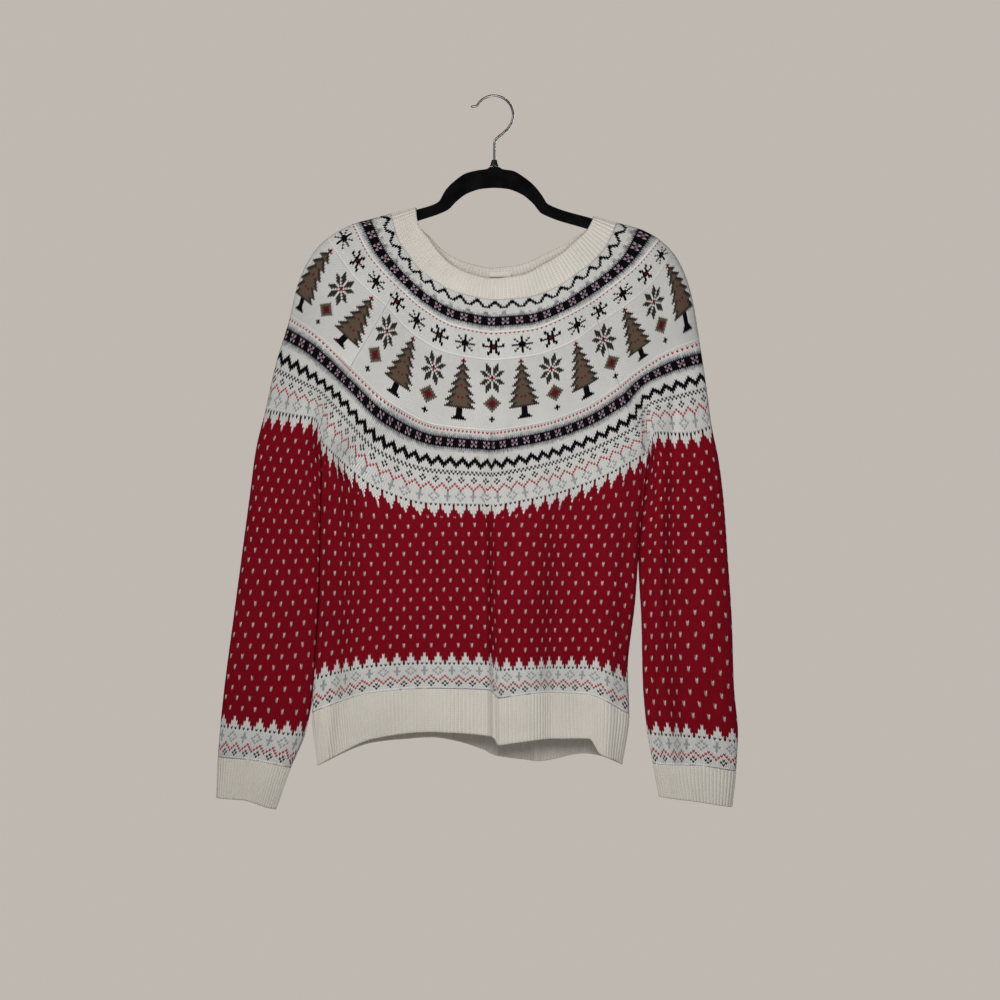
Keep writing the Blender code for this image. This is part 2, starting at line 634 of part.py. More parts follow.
def add_collar(look):
    """The turned collar round the foot of the hook, with a bore that clears the wire."""
    bore = HOOK_WIRE + COLLAR_WALL_GAP
    profile = (
        (COLLAR_RADII[0] - 0.5, 0),
        (COLLAR_RADII[0], -0.5),
        (COLLAR_RADII[1], -COLLAR_HEIGHT + 0.6),
        (COLLAR_RADII[1] - 0.6, -COLLAR_HEIGHT),
        (bore, -COLLAR_HEIGHT),
        (bore, 0),
    )
    mesh = bpy.data.meshes.new("hanger_collar")
    edges = [(k, (k + 1) % len(profile)) for k in range(len(profile))]
    mesh.from_pydata([(r * MM, 0, z * MM) for r, z in profile], edges, [])
    collar = add_object("hanger_collar", mesh, look)
    collar.location = (HOOK_NECK_X * MM, 0, COLLAR_TOP_Z * MM)
    screw = collar.modifiers.new("turn", "SCREW")
    screw.steps = 24
    screw.render_steps = 24
    screw.use_merge_vertices = True
    screw.merge_threshold = 0.00001
    screw.use_normal_calculate = True
    return collar


for old in list(bpy.data.objects):
    bpy.data.objects.remove(old, do_unlink=True)
PARTS = bpy.data.collections.new("sweater_on_hanger")
bpy.context.scene.collection.children.link(PARTS)
ROOT = bpy.data.objects.new("sweater_frame", None)
PARTS.objects.link(ROOT)

red_knit = material("red_knit", (0.38, 0.012, 0.03), 0.9)
cream_rib = material("cream_rib_knit", (0.78, 0.73, 0.64), 0.9)
label_cloth = material("label_cloth", (0.82, 0.81, 0.78), 0.7)
black_flock = material("black_flock", (0.012, 0.012, 0.013), 0.95)
black_plastic = material("black_plastic", (0.015, 0.015, 0.016), 0.4)
steel = material("steel_wire", (0.6, 0.6, 0.61), 0.3, 1.0)

front_points = panel_points(FRONT[:-1], -1)
back_points = panel_points(BACK[:-1], 1)
left_points = sleeve_points(LEFT_SLEEVE[:-1], -1)
right_points = sleeve_points(RIGHT_SLEEVE[:-1], 1)

wall_object("front_panel", front_points, red_knit)
wall_object("back_panel", back_points, red_knit)
wall_object("sleeve_left", left_points, red_knit)
wall_object("sleeve_right", right_points, red_knit)
wall_object("hem_rib_front", hem_points(front_points, FRONT, -1), cream_rib)
wall_object("hem_rib_back", hem_points(back_points, BACK, 1), cream_rib)
wall_object("cuff_left", cuff_points(left_points, LEFT_SLEEVE), cream_rib, closed=True)
wall_object("cuff_right", cuff_points(right_points, RIGHT_SLEEVE), cream_rib, closed=True)
neckband = neckband_points(front_points, back_points, left_points, right_points)
wall_object("neckband", neckband, cream_rib, closed=True)
wall_object("neck_label", label_points(), label_cloth)
add_hanger_body(black_flock)
add_collar(black_plastic)
add_hook(steel)
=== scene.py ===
import math

import bpy
import numpy as np
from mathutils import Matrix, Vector


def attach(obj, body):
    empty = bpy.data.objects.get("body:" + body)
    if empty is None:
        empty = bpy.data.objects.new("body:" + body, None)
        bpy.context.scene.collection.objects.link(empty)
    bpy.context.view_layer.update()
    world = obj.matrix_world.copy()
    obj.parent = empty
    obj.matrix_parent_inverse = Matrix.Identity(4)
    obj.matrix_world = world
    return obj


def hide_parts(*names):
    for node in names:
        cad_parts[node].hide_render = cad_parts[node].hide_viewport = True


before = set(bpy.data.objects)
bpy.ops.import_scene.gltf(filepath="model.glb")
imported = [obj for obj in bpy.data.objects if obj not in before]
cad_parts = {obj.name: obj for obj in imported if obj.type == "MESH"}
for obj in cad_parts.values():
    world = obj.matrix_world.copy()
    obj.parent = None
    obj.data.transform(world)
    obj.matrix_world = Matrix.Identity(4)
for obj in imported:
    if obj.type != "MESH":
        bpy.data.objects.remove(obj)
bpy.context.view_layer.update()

mm = 0.001
print("frame loaded:", len(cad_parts), "nodes")

# The sweater as it hangs, in millimetres. X runs across it, Z is up, the origin is the inside of
# the hook. Each row is a line across the garment and gives (x, z) at its stations:
# 0 left fold, 1 left sleeve, 2 left tuck, 3 left raglan line, 4 left side, 5 left front,
# 6 left of the crease, 7 crease, 8 right of it, 9 soft pleat, 10 right front,
# 11 right raglan line, 12 right tuck, 13 right sleeve, 14 right fold.
garment = {
    "cloth": 2.5,              # its thickness
    "neckCentre": 13.0,        # x about which the back's neck rises
    "neckHalfWidth": 108.0,    # how far to either side of that it does
    "backNeckLift": 15.5,      # and how much
    "liftEnds": (-250.0, -430.0),  # heights down to which the rise is full, and where it is gone
    "armpits": ((-216.0, -444.0), (193.5, -455.0)),
    "bodySwellsOver": 50.0,    # how far in from an armpit the body has its full depth
    "neckEdge": (
        (-98, -138.5), (-94.5, -159), (-79.5, -180.5), (-72.5, -190.5), (-56, -208),
        (-34, -220.5), (-7, -228), (-2.5, -228), (2, -228), (34, -224),
        (64, -209), (87, -195), (97.5, -185), (115.5, -168), (125.5, -149),
    ),
    "yoke": (
        (  # neck seam
            (-129, -146), (-119, -180), (-102.5, -204), (-95, -214), (-75, -230.5),
            (-45, -246), (-9, -254), (-4, -254.5), (1, -255), (40, -252),
            (77.5, -239.5), (105, -221), (117.5, -212), (140, -187.5), (154, -157.5),
        ),
        (  # stars
            (-154, -153), (-137, -190.5), (-116, -217.5), (-107.5, -227), (-81.5, -249.5),
            (-48, -267.5), (-9.5, -275.5), (-4.5, -276), (1, -276), (43, -273),
            (84.5, -258.5), (113, -240), (127, -231), (159.5, -202), (180, -164.5),
        ),
        (  # upper dots
            (-176, -159), (-155, -200), (-129, -230), (-120, -239), (-87.5, -267),
            (-51, -287.5), (-10, -296), (-4.5, -296.5), (0.5, -296.5), (46, -292.5),
            (91, -275.5), (121, -259), (136, -248), (177.5, -214), (207.5, -179),
        ),
        (  # a third of the way down the motifs
            (-216, -183), (-177.5, -234), (-147.5, -261), (-137.5, -269), (-101.5, -307),
            (-58, -330), (-10, -338), (-5, -338), (0, -338.5), (51, -332),
            (99.5, -314.5), (132.5, -291), (151, -279), (192.5, -247.5), (227.5, -200),
        ),
        (  # two thirds of the way down them
            (-244, -230), (-202.5, -267.5), (-170, -297.5), (-159, -306), (-116, -347),
            (-64.5, -373), (-10.5, -380), (-5, -380), (0, -380), (55.5, -372),
            (108, -353), (146, -329), (166, -315), (205, -284), (245, -241),
        ),
        (  # lower dots
            (-256, -279), (-224, -300), (-195, -327), (-180, -342.5), (-130, -387.5),
            (-71, -415.5), (-10.5, -421.5), (-5.5, -422), (-0.5, -422), (60, -412),
            (116, -392), (157.5, -365), (179, -347), (216, -324.5), (257.5, -310),
        ),
        (  # checks
            (-273, -335), (-241, -351), (-216, -365), (-196, -384), (-139, -440.5),
            (-76, -462.5), (-11, -467), (-5.5, -467.5), (0, -467.5), (64, -455.5),
            (122.5, -436), (175, -410), (192.5, -381), (232.5, -369), (265, -360),
        ),
        (  # yoke edge
            (-287, -397), (-253, -403), (-223, -407.5), (-214, -437.5), (-147.5, -491),
            (-80, -511), (-11, -513), (-5, -513.5), (0, -513.5), (69, -500.5),
            (131, -479.5), (191, -447.5), (203, -424), (240, -426), (273, -416.5),
        ),
    ),
    "body": (  # underarm, bust, waist
        (
            (-215, -456), (-149, -507.5), (-80, -525), (-11, -527.5), (-5, -528),
            (0, -528), (69, -515.5), (131, -496), (190.5, -464),
        ),
        (
            (-217, -541), (-150, -557.5), (-80, -564), (-10.5, -565), (-4.5, -565.5),
            (0.5, -566), (67.5, -562.5), (129, -557.5), (183, -541),
        ),
        (
            (-219, -629), (-151, -635), (-80, -636), (-9, -636), (-3, -637.5),
            (2.5, -639), (65, -636), (125, -636), (176.6, -629),
        ),
    ),
    "frontHem": (  # hip, hem seam, hem
        (
            (-224, -710), (-152.5, -697.5), (-79, -694), (-7, -695), (-1, -698),
            (4.5, -701), (63, -700), (120, -699), (167.2, -714),
        ),
        (
            (-227.5, -769), (-152.5, -743.5), (-79, -737.5), (-6, -740), (0, -745),
            (5.5, -750), (62, -743), (116, -745), (169, -771),
        ),
        (
            (-220, -835), (-149, -800.5), (-79, -791.5), (-6, -797), (0.5, -801),
            (6, -808), (62, -801), (117.5, -800), (160, -834),
        ),
    ),
    "backHem": (
        (
            (-224, -710), (-152.5, -701), (-79, -697.5), (-11, -702.5), (-5, -704),
            (1, -705), (64, -709), (117.5, -705), (167.2, -714),
        ),
        (
            (-227.5, -769), (-152.5, -754), (-79, -749), (-11, -760), (-5, -762.5),
            (1, -765.5), (64, -774.5), (117.5, -762.5), (169, -771),
        ),
        (
            (-220, -835), (-149, -809), (-79, -803), (-11, -819.5), (-5, -823),
            (2.5, -826), (59, -832.5), (114, -823), (160, -834),
        ),
    ),
    "leftSleeve": (  # armhole, upper arm, elbow, forearm, lower arm, wrist, cuff seam, cuff
        ((-297.5, -441), (-260, -445.5), (-229, -448.5), (-214.8, -449.5)),
        ((-306, -504), (-265, -506.5), (-230, -506), (-214.6, -504.5)),
        ((-316, -579), (-269, -582), (-231, -580.5), (-216.4, -578.5)),
        ((-326, -654), (-275, -655.5), (-235, -652.5), (-218.8, -650.5)),
        ((-336, -729), (-285, -731), (-240, -731), (-224, -729)),
        ((-342, -785), (-292.5, -790), (-249, -795.5), (-236.5, -797)),
        ((-345, -825), (-305, -827.5), (-266, -835.5), (-254, -839)),
        ((-347, -876), (-314, -877.5), (-282.5, -888), (-272.5, -891)),
    ),
    "rightSleeve": (  # the same rows, from the underarm seam out to the fold
        ((188.6, -460), (204, -460), (242.5, -459), (280, -449.5)),
        ((184.2, -509), (199, -509.5), (241, -509), (287, -503.5)),
        ((180.6, -579), (196, -580), (242.5, -580), (292.5, -579.5)),
        ((184.4, -656.5), (198, -655.5), (244, -652), (297.5, -657.5)),
        ((186, -728), (199, -727.5), (246, -727), (300, -736)),
        ((190.5, -785), (204, -785.5), (252.5, -788.5), (305, -795)),
        ((198.8, -834), (210.5, -834), (251, -834.5), (302.5, -842.5)),
        ((206.5, -875), (218.5, -876), (254, -880), (297.5, -887.5)),
    ),
    # Level z, half depth of a sleeve, half depth of the body, width of the rounding at an edge
    "depths": (
        (-130, 8, 8, 14), (-160, 8.5, 9, 16), (-220, 10, 13, 24), (-300, 11, 14, 30),
        (-440, 11, 15, 30), (-600, 11, 18, 30), (-740, 11, 22, 30), (-900, 12, 25, 30),
    ),
    "lap": 3.8,        # the side seams lie this far forward of the underarm seams' line
    "lapReach": 16,    # how far to either side of a seam the cloth gives way for it
    "edgeGap": 0.05,   # half the gap between front and back cloth at an edge
    "roomInside": 1.2,  # what a fold leaves between the cloth and the garment's middle
    "hemDrop": (118, 131, 158, 13),  # in front the hem hangs lower from x to x by so much
    # Where the front's stitches are drawn together: x, half width, and how much closer they lie
    "gathers": {
        "front": ((-180, 12, 0.45), (-3, 3.5, 0.8), (68, 12, 0.5)),
        "right": ((219, 8, 0.9),),
        "left": (),
        "back": (),
    },
    "gathersFrom": (-430, 60),  # the height where they start, and over how much they come in
    # Top x and z, low x and z, depth (a ridge is below 0), half width, fade at the top and foot
    "frontFolds": {
        "sharp crease": (-5, -430, 0.5, -850, 7.5, 4.5, 90, 0),
        "lip right of the crease": (9, -440, 14, -850, -2.5, 9, 90, 0),
        "swell before the pleat": (40, -460, 40, -850, -4.5, 16, 120, 0),
        "pleat": (74, -470, 70, -850, 5.5, 11, 90, 0),
        "hollow past the pleat": (98, -500, 96, -850, 3.5, 22, 120, 0),
        "left side trough": (-180, -450, -185, -640, 8.0, 10, 70, 60),
        "left side trough below": (-190, -585, -212, -850, 8.0, 9, 70, 0),
        "left side lobe": (-204, -450, -226, -850, -2.0, 9, 90, 0),
        "left swell": (-66, -520, -62, -850, -3.5, 34, 120, 0),
        "left hollow": (-150, -530, -152, -850, 4.5, 34, 120, 0),
        "shallow trough by the crease": (-38, -560, -34, -850, 1.6, 12, 90, 0),
        "right swell": (136, -480, 134, -850, -4.5, 18, 120, 0),
        "right side trough": (165, -520, 152, -860, 3.0, 9, 80, 0),
        "left armpit tuck": (-215, -345, -216, -450, 7.0, 5.5, 80, 0),
        "right armpit tuck": (188, -350, 193, -460, 8.0, 6.5, 80, 0),
        "left sleeve trough": (-236, -430, -248, -760, 6.0, 13, 80, 60),
        "left sleeve swell": (-280, -470, -300, -760, -2.0, 15, 90, 90),
        "left sleeve long trough": (-286, -600, -316, -800, 1.6, 8, 70, 40),
        "right sleeve lobe": (206, -400, 202, -660, -3.0, 9, 80, 110),
        "right sleeve trough": (225, -340, 219, -600, 5.5, 7, 80, 60),
        "right sleeve trough below": (220, -545, 211, -745, 5.0, 7, 60, 90),
        "right sleeve hollow": (240, -420, 238, -660, 2.5, 13, 90, 120),
        "right sleeve swell": (266, -430, 270, -760, -1.6, 12, 90, 90),
        "right sleeve long trough": (280, -620, 266, -830, 1.8, 9, 90, 50),
        "left shoulder dip": (-196, -215, -222, -330, 1.6, 13, 50, 60),
        "right shoulder dip": (192, -225, 214, -330, 1.8, 12, 50, 60),
        "left neck ripple": (-70, -262, -96, -360, 1.2, 12, 40, 60),
        "right neck ripple": (82, -262, 104, -370, 1.3, 11, 40, 60),
        "middle neck ripple": (22, -292, 28, -420, 1.1, 10, 40, 70),
    },
    "backFolds": {
        "left pleat": (-122, -450, -108, -850, 5.0, 13, 120, 0),
        "left of centre swell": (-48, -590, -38, -850, -3.0, 16, 120, 0),
        "centre crease": (36, -420, 54, -850, 6.0, 7, 110, 0),
        "lip left of the crease": (20, -440, 38, -850, -2.0, 9, 110, 0),
        "right trough": (128, -510, 120, -850, 4.0, 12, 90, 0),
        "left side trough": (-176, -520, -182, -780, 2.6, 11, 80, 80),
        "shallow trough": (-10, -560, -2, -850, 1.6, 12, 90, 0),
        "right swell": (92, -540, 88, -850, -2.0, 15, 120, 0),
        "left armpit tuck": (-215, -360, -216, -450, 6.0, 6.5, 70, 0),
        "right armpit tuck": (188, -365, 193, -460, 6.0, 6.5, 70, 0),
        "left sleeve trough": (-262, -500, -290, -790, 3.0, 10, 80, 90),
        "left sleeve swell": (-292, -440, -316, -700, -1.5, 12, 80, 90),
        "right sleeve trough": (247, -470, 240, -730, 3.2, 10, 80, 90),
        "right sleeve long trough": (275, -520, 284, -760, 1.6, 8, 80, 80),
        "left shoulder dip": (-170, -210, -205, -330, 1.8, 13, 50, 60),
        "right shoulder dip": (178, -215, 205, -335, 1.5, 12, 50, 60),
        "middle yoke ripple": (2, -262, -6, -400, 1.3, 12, 40, 70),
    },
}

# Stitches: the yoke, body and sleeves are stocking stitch, whose columns are called wales.
knitting = {
    "slant": 0.92,          # how far a stitch's two legs climb, in rows
    "groove": 0.42,         # mm, how deep the groove between two wales is
    "crown": 0.10,          # mm, how far the middle of a wale stands out
    "uneven": 0.09,         # mm, how much the stitches differ in height
    "rounds": (312, 360, 480, 504),  # stitches round each of the yoke's blocks, neck down
    "motifRow": 3.5,        # the table row on which the stitches round the motifs are evened out
    "join": 0.08,           # rows, the height of the plain line between two blocks
    "joinShade": 0.8,       # how bright that line is painted against the white yarn, a painted shade matching the shaded stitches round it
    "bandsTop": -418.5,     # mm, where the lower bands start in front
    "bandLean": 0.85,       # how far the lower bands' wales turn square to their rows
    "panelStitches": 162,
    "sleeveStitches": 45,   # on one side of a sleeve
    "toothX": -41.0,        # mm, where the middle of one tooth is in front
    "bodyTopLine": -533.9,  # mm, the top of the body's first whole row of dots
    # x, how much higher that row lies there, and the height of the rows above it there
    "bodyWave": ((-215, 6, 3.0), (-197, 2.4, 3.0), (-185, 0.4, 2.95), (-162, -2.6, 2.9),
                 (-134, -2.3, 2.7), (-104, -2, 2.45), (-72, 0.4, 2.36), (47, 0, 2.36),
                 (71, -2.2, 2.36), (125, -2.6, 2.4), (154, -0.6, 2.55), (190, 0.8, 2.7)),
    "rowsAbove": 34,        # whole or part rows between it and the teeth, at the sides
    "bodyRows": 70,         # from there down to the hem's bands
    "elbowRows": 71,        # from the yoke's edge down to the elbow
    "sleeveRows": 145,      # from the yoke's edge down to the cuff's bands
    "sleeveDots": 5,        # how many rows below the yoke's edge a sleeve's dots are counted from
    "easeRows": 2.5,        # table rows over which wales ease from the yoke's places to the hem's
    "insideRows": (27, 31),  # lines of cells inside, in the yoke and below it
}

# Yarns, sRGB
yarns = {
    "w": "#e3e2de",  # off-white
    "r": "#85091c",  # deep red
    "k": "#0b080c",  # black
    "g": "#77787d",  # grey
    "s": "#a3a8aa",  # pale grey of the small motifs
    "l": "#ae142e",  # the same red where single stitches of it catch the light
    "p": "#8a6c7c",  # dusty pink
    "q": "#b49fab",  # the same, paler
    "d": "#7a0a1c",  # dark red
    "b": "#38302b",  # dark brown
    "t": "#665648",  # taupe
    "c": "#c9c4bb",  # cream of the ribs
}

# Charts: one letter a stitch, one string a row from the neck down, "." is off-white,
# "m" is light grey marl and "n" is darker marl. Each row repeats round the yoke.
checks = (
    "kkkkkk",
    "kqkqkk",
    "kkpkkk",
    "kqkqkk",
    "kkkkkk",
)
smallDiamonds = (
    "...s.....s..",
    "..s.s....s..",
    ".s...s..sss.",
    "..s.s....s..",
    "...s.....s..",
)
upperBands = (
    ".",
    "...kk...",
    "..kkkk..",
    ".kk..kk.",
    "kk....kk",
    ".",
    "m......m",
    "n..mm..n",
    "nnmmmmnn",
    *checks,
    "n",
    "m",
    ".",
)
motifTops = (  # a snowflake over each tree and a berry sprig over each star
    "l.",
    ".",
    "........................",
    ".....k.........k...k....",
    "..k..k..k......kk.kk....",
    "...k.k.k........k.k.....",
    "....kkk......k..kkk..k..",
    ".kkkkkkkkk...kkkkdkkkk..",
    "....kkk.........kkk.....",
    "...k.k.k........k.k.....",
    "..k..k..k......kk.kk....",
    ".....k.........k...k....",
    "........................",
    ".",
)
motifs = (  # a fir tree and an eight-pointed star over a lozenge
    "................................",
    ".......d........................",
    "......ddd...........b.....b.....",
    ".......b............bb...bb.....",
    "......bbb...........bbb.bbb.....",
    ".....bbtbb..........bbb.bbb.....",
    "....bbtttbb......bbb.bb.bb.bbb..",
    "......bbb.........bbb.b.b.bbb...",
    ".....bbtbb.........bbb.d.bbb....",
    "....bbtttbb...........ddd.......",
    "...bbtttttbb.......bbb.d.bbb....",
    ".....bbtbb........bbb.b.b.bbb...",
    "....bbtttbb......bbb.bb.bb.bbb..",
    "...bbtttttbb........bbb.bbb.....",
    "..bbtttdtttbb.......bbb.bbb.....",
    "....bbtttbb.........bb...bb.....",
    "...bbtttttbb........b.....b.....",
    "..bbtttttttbb...................",
    ".bbtttttttttbb.........t........",
    "...bbtttttbb..........ttt.......",
    "..bbttdtdttbb........ttbtt......",
    ".bbtttttttttbb......ttbdbtt.....",
    "bbtttttttttttbb....ttbdddbtt....",
    "..bbtttttttbb.......ttbdbtt.....",
    ".bbtttttttttbb.......ttbtt......",
    "bbbbbbbbbbbbbbb.......ttt.......",
    "......kkk..............t........",
    "......kkk.......................",
    "......kkk.......................",
    "......kkk..............k........",
    ".....kkkkk............kkk.......",
    "....kkkkkkk............k........",
    "................................",
    "................................",
    "................................",
    ".",
)
lowerBands = (
    ".",
    "l.",
    ".",
    "m",
    "n",
    *checks,
    "n",
    "m",
    ".",
    ".",
    "...k..",
    "..kkk.",
    ".kkkkk",
    "kkk.kk",
    "kk...k",
    "k.....",
    ".",
    "k.",
    ".k",
    ".",
    "...k..",
    "..k.k.",
    "...k..",
    "l.....",
    ".l...l",
    "..l.l.",
    "...l..",
    *smallDiamonds,
    ".",
    "k.",
)
teeth = (
    "r.....",
    "r.....",
    "rr...r",
    "rr...r",
    "rrr.rr",
    "rrr.rr",
)
hemBands = (
    "rrr.rr",
    "rrr.rr",
    "rr...r",
    "rr...r",
    "r.....",
    "k.",
    ".",
    *smallDiamonds,
    "l.....",
    ".l...l",
    "..l.l.",
    "k..l..",
    ".k...k",
    "k.....",
    ".",
)


def smoothStep(t):
    # Eases from 0 to 1 as t does: three t squared less two t cubed.
    t = np.clip(t, 0.0, 1.0)
    return t * t * (3 - 2 * t)


def slopesOf(values):
    # Harmonic mean of the two steps beside each point, or none where they turn back.
    steps = np.diff(values, axis=0)
    sameWay = steps[1:] * steps[:-1]
    total = np.where(sameWay > 0, steps[1:] + steps[:-1], 1.0)
    slopes = np.empty_like(values)
    slopes[1:-1] = np.where(sameWay > 0, 2 * sameWay / total, 0.0)
    slopes[0] = steps[0]
    slopes[-1] = steps[-1]
    return slopes


def hermite(low, high, lowSlope, highSlope, t):
    # Cubic that leaves each end at its own slope.
    return (
        low * (1 + 2 * t) * (1 - t) ** 2
        + high * t * t * (3 - 2 * t)
        + lowSlope * t * (1 - t) ** 2
        - highSlope * t * t * (1 - t)
    )


def clothAt(table, row, station):
    # Front-view (x, z) at any row and station of a table: a smooth cubic down each station's
    # line, then one across the stations.
    row, station = np.broadcast_arrays(np.asarray(row, float), np.asarray(station, float))
    first = np.clip(row.astype(int), 0, len(table) - 2)
    down = slopesOf(table)
    t = (row - first)[..., None, None]
    line = hermite(table[first], table[first + 1], down[first], down[first + 1], t)
    line = np.moveaxis(line, -2, 0)
    across = slopesOf(line)
    first = np.clip(station.astype(int), 0, len(line) - 2)
    t = (station - first)[..., None]

    def pick(values, index):
        return np.take_along_axis(values, index[None, ..., None], 0)[0]

    return hermite(
        pick(line, first), pick(line, first + 1), pick(across, first), pick(across, first + 1), t
    )


def rowAtHeight(table, station, z):
    # The row at which a station's line comes down to height z, found on lines sampled finely.
    fineRows = np.linspace(0, len(table) - 1, 12 * (len(table) - 1) + 1)
    fineStations = np.linspace(0, table.shape[1] - 1, 10 * (table.shape[1] - 1) + 1)
    heights = clothAt(table, fineRows[:, None], fineStations[None, :])[..., 1]
    place = station * 10
    left = np.clip(place.astype(int), 0, heights.shape[1] - 2)
    share = (place - left)[None]
    profile = heights[:, left] * (1 - share) + heights[:, left + 1] * share
    above = np.clip((profile > z[None]).sum(0) - 1, 0, len(fineRows) - 2)[None]
    top = np.take_along_axis(profile, above, 0)[0]
    low = np.take_along_axis(profile, above + 1, 0)[0]
    part = np.clip((top - z) / np.maximum(top - low, 1e-6), 0, 1)
    return fineRows[above[0]] + part * (fineRows[1] - fineRows[0])


yokeTable = np.array(garment["yoke"], float)


def tableOf(first, last, *below):
    # The yoke's stations first to last, with the rows that hang below them.
    return np.concatenate([yokeTable[:, first:last + 1], *[np.array(b, float) for b in below]])


tables = {
    "front": tableOf(3, 11, garment["body"], garment["frontHem"]),
    "back": tableOf(3, 11, garment["body"], garment["backHem"]),
    "left": tableOf(0, 3, garment["leftSleeve"]),
    "right": tableOf(11, 14, garment["rightSleeve"]),
}
tables["neck"] = np.concatenate([[np.array(garment["neckEdge"], float)], yokeTable])
firstStation = {"front": 3, "back": 3, "left": 0, "right": 11, "neck": 0}
yokeEdge = len(yokeTable) - 1  # the table row where the yoke ends
besideCrease = 8               # the station down which the front's rows are counted


def outlineEdges():
    # Short straight pieces along every line where front and back cloth meet in the front view.
    lines = []
    for name, fold, seam, end, armpit in (("left", 0, 3, 0, 0), ("right", 3, 0, 14, 1)):
        sleeve = tables[name]
        lines.append(np.vstack([[garment["neckEdge"][end]], sleeve[:, fold]]))
        lines.append(np.vstack([[garment["armpits"][armpit]], sleeve[yokeEdge + 1:, seam]]))
    lines.append(np.vstack([[garment["armpits"][0]], tables["front"][yokeEdge + 1:, 0]]))
    lines.append(np.vstack([[garment["armpits"][1]], tables["front"][yokeEdge + 1:, -1]]))
    starts, ends = [], []
    for line in lines:
        places = np.linspace(0, len(line) - 1, 5 * (len(line) - 1) + 1)
        first = np.clip(places.astype(int), 0, len(line) - 2)
        slopes = slopesOf(line)
        t = (places - first)[:, None]
        fine = hermite(line[first], line[first + 1], slopes[first], slopes[first + 1], t)
        starts.append(fine[:-1])
        ends.append(fine[1:])
    return np.vstack(starts), np.vstack(ends)


edgeStarts, edgeEnds = outlineEdges()


def nearestEdge(flat):
    # Distance from each front-view point to the nearest outline edge, and the way off it,
    # worked out a few thousand points at a time.
    along = edgeEnds - edgeStarts
    lengths = (along**2).sum(-1)
    distance = np.empty(len(flat))
    way = np.empty_like(flat)
    atOnce = 4000
    for start in range(0, len(flat), atOnce):
        some = slice(start, start + atOnce)
        offset = flat[some, None, :] - edgeStarts
        share = np.clip((offset * along).sum(-1) / lengths, 0, 1)
        away = offset - share[..., None] * along
        squares = (away**2).sum(-1)
        best = squares.argmin(-1)
        rows = np.arange(len(best))
        distance[some] = np.sqrt(squares[rows, best])
        way[some] = away[rows, best]
    return distance, way


def foldRelief(x, z, folds):
    # Each fold sinks the cloth as a bell across its line, and fades in and out along it.
    sunk = np.zeros_like(x)
    for topX, topZ, lowX, lowZ, depth, halfWidth, fadeTop, fadeLow in folds.values():
        along = np.clip((topZ - z) / (topZ - lowZ), 0, 1)
        beside = x - (topX + (lowX - topX) * along)
        strength = smoothStep((topZ - z) / fadeTop)
        if fadeLow:
            strength = strength * smoothStep((z - lowZ) / fadeLow)
        sunk += depth * strength * np.exp(-((beside / halfWidth) ** 2))
    return sunk


def standOff(flat, side):
    # Front-view points go out to the garment's face: the half depth there, rounded off to
    # nothing as a quarter ellipse towards an outline edge, less the folds. side is -1 in front,
    # 1 behind and 0 on a fold. Gives points and the directions out of the cloth.
    shape = flat.shape[:-1]
    side = np.broadcast_to(side, shape)
    x, z = flat[..., 0], flat[..., 1]
    levels = np.array(garment["depths"], float)
    sleeve, body, reach = (np.interp(-z, -levels[:, 0], levels[:, k]) for k in (1, 2, 3))
    (leftX, _), (rightX, _) = garment["armpits"]
    inside = smoothStep((x - leftX) / garment["bodySwellsOver"])
    inside = inside * smoothStep((rightX - x) / garment["bodySwellsOver"])
    halfDepth = sleeve + (body - sleeve) * inside
    distance, way = nearestEdge(flat.reshape(-1, 2))
    distance, way = distance.reshape(shape), way.reshape(shape + (2,))
    middle = flat.reshape(-1, 2).mean(0)
    # A point on an edge, or just past it, is taken to face the middle of its piece.
    onEdge = distance < 0.05
    justPast = ((way * (middle - flat)).sum(-1) < 0) & (distance < 3)
    way = np.where(justPast[..., None], -way, way)
    way = np.where(onEdge[..., None], middle - flat, way)
    way = way / np.linalg.norm(way, axis=-1, keepdims=True)
    turn = np.clip(1 - np.where(onEdge, 0, distance) / reach, 0, 1)
    rise = np.sqrt(1 - turn**2)
    depth = halfDepth * rise
    sunk = np.where(
        side > 0, foldRelief(x, z, garment["backFolds"]), foldRelief(x, z, garment["frontFolds"])
    )
    least = np.minimum(depth, garment["cloth"] + garment["roomInside"])
    depth = np.maximum(depth - sunk * rise, least)
    points = np.stack([x, side * (depth + garment["edgeGap"]), z], -1)
    outward = np.stack(
        [-way[..., 0] * turn / reach, side * rise / halfDepth, -way[..., 1] * turn / reach], -1
    )
    return points, outward / np.linalg.norm(outward, axis=-1, keepdims=True)


def liftBack(flat, side):
    # The back rises round the neck, most in the middle, and not at all below the yoke.
    beside = np.abs(flat[..., 0] - garment["neckCentre"]) / garment["neckHalfWidth"]
    high, low = garment["liftEnds"]
    down = smoothStep((flat[..., 1] - low) / (high - low))
    lift = garment["backNeckLift"] * np.clip(1 - beside**3, 0, 1) * down
    return flat + np.stack([np.zeros_like(lift), np.where(side > 0, lift, 0)], -1)


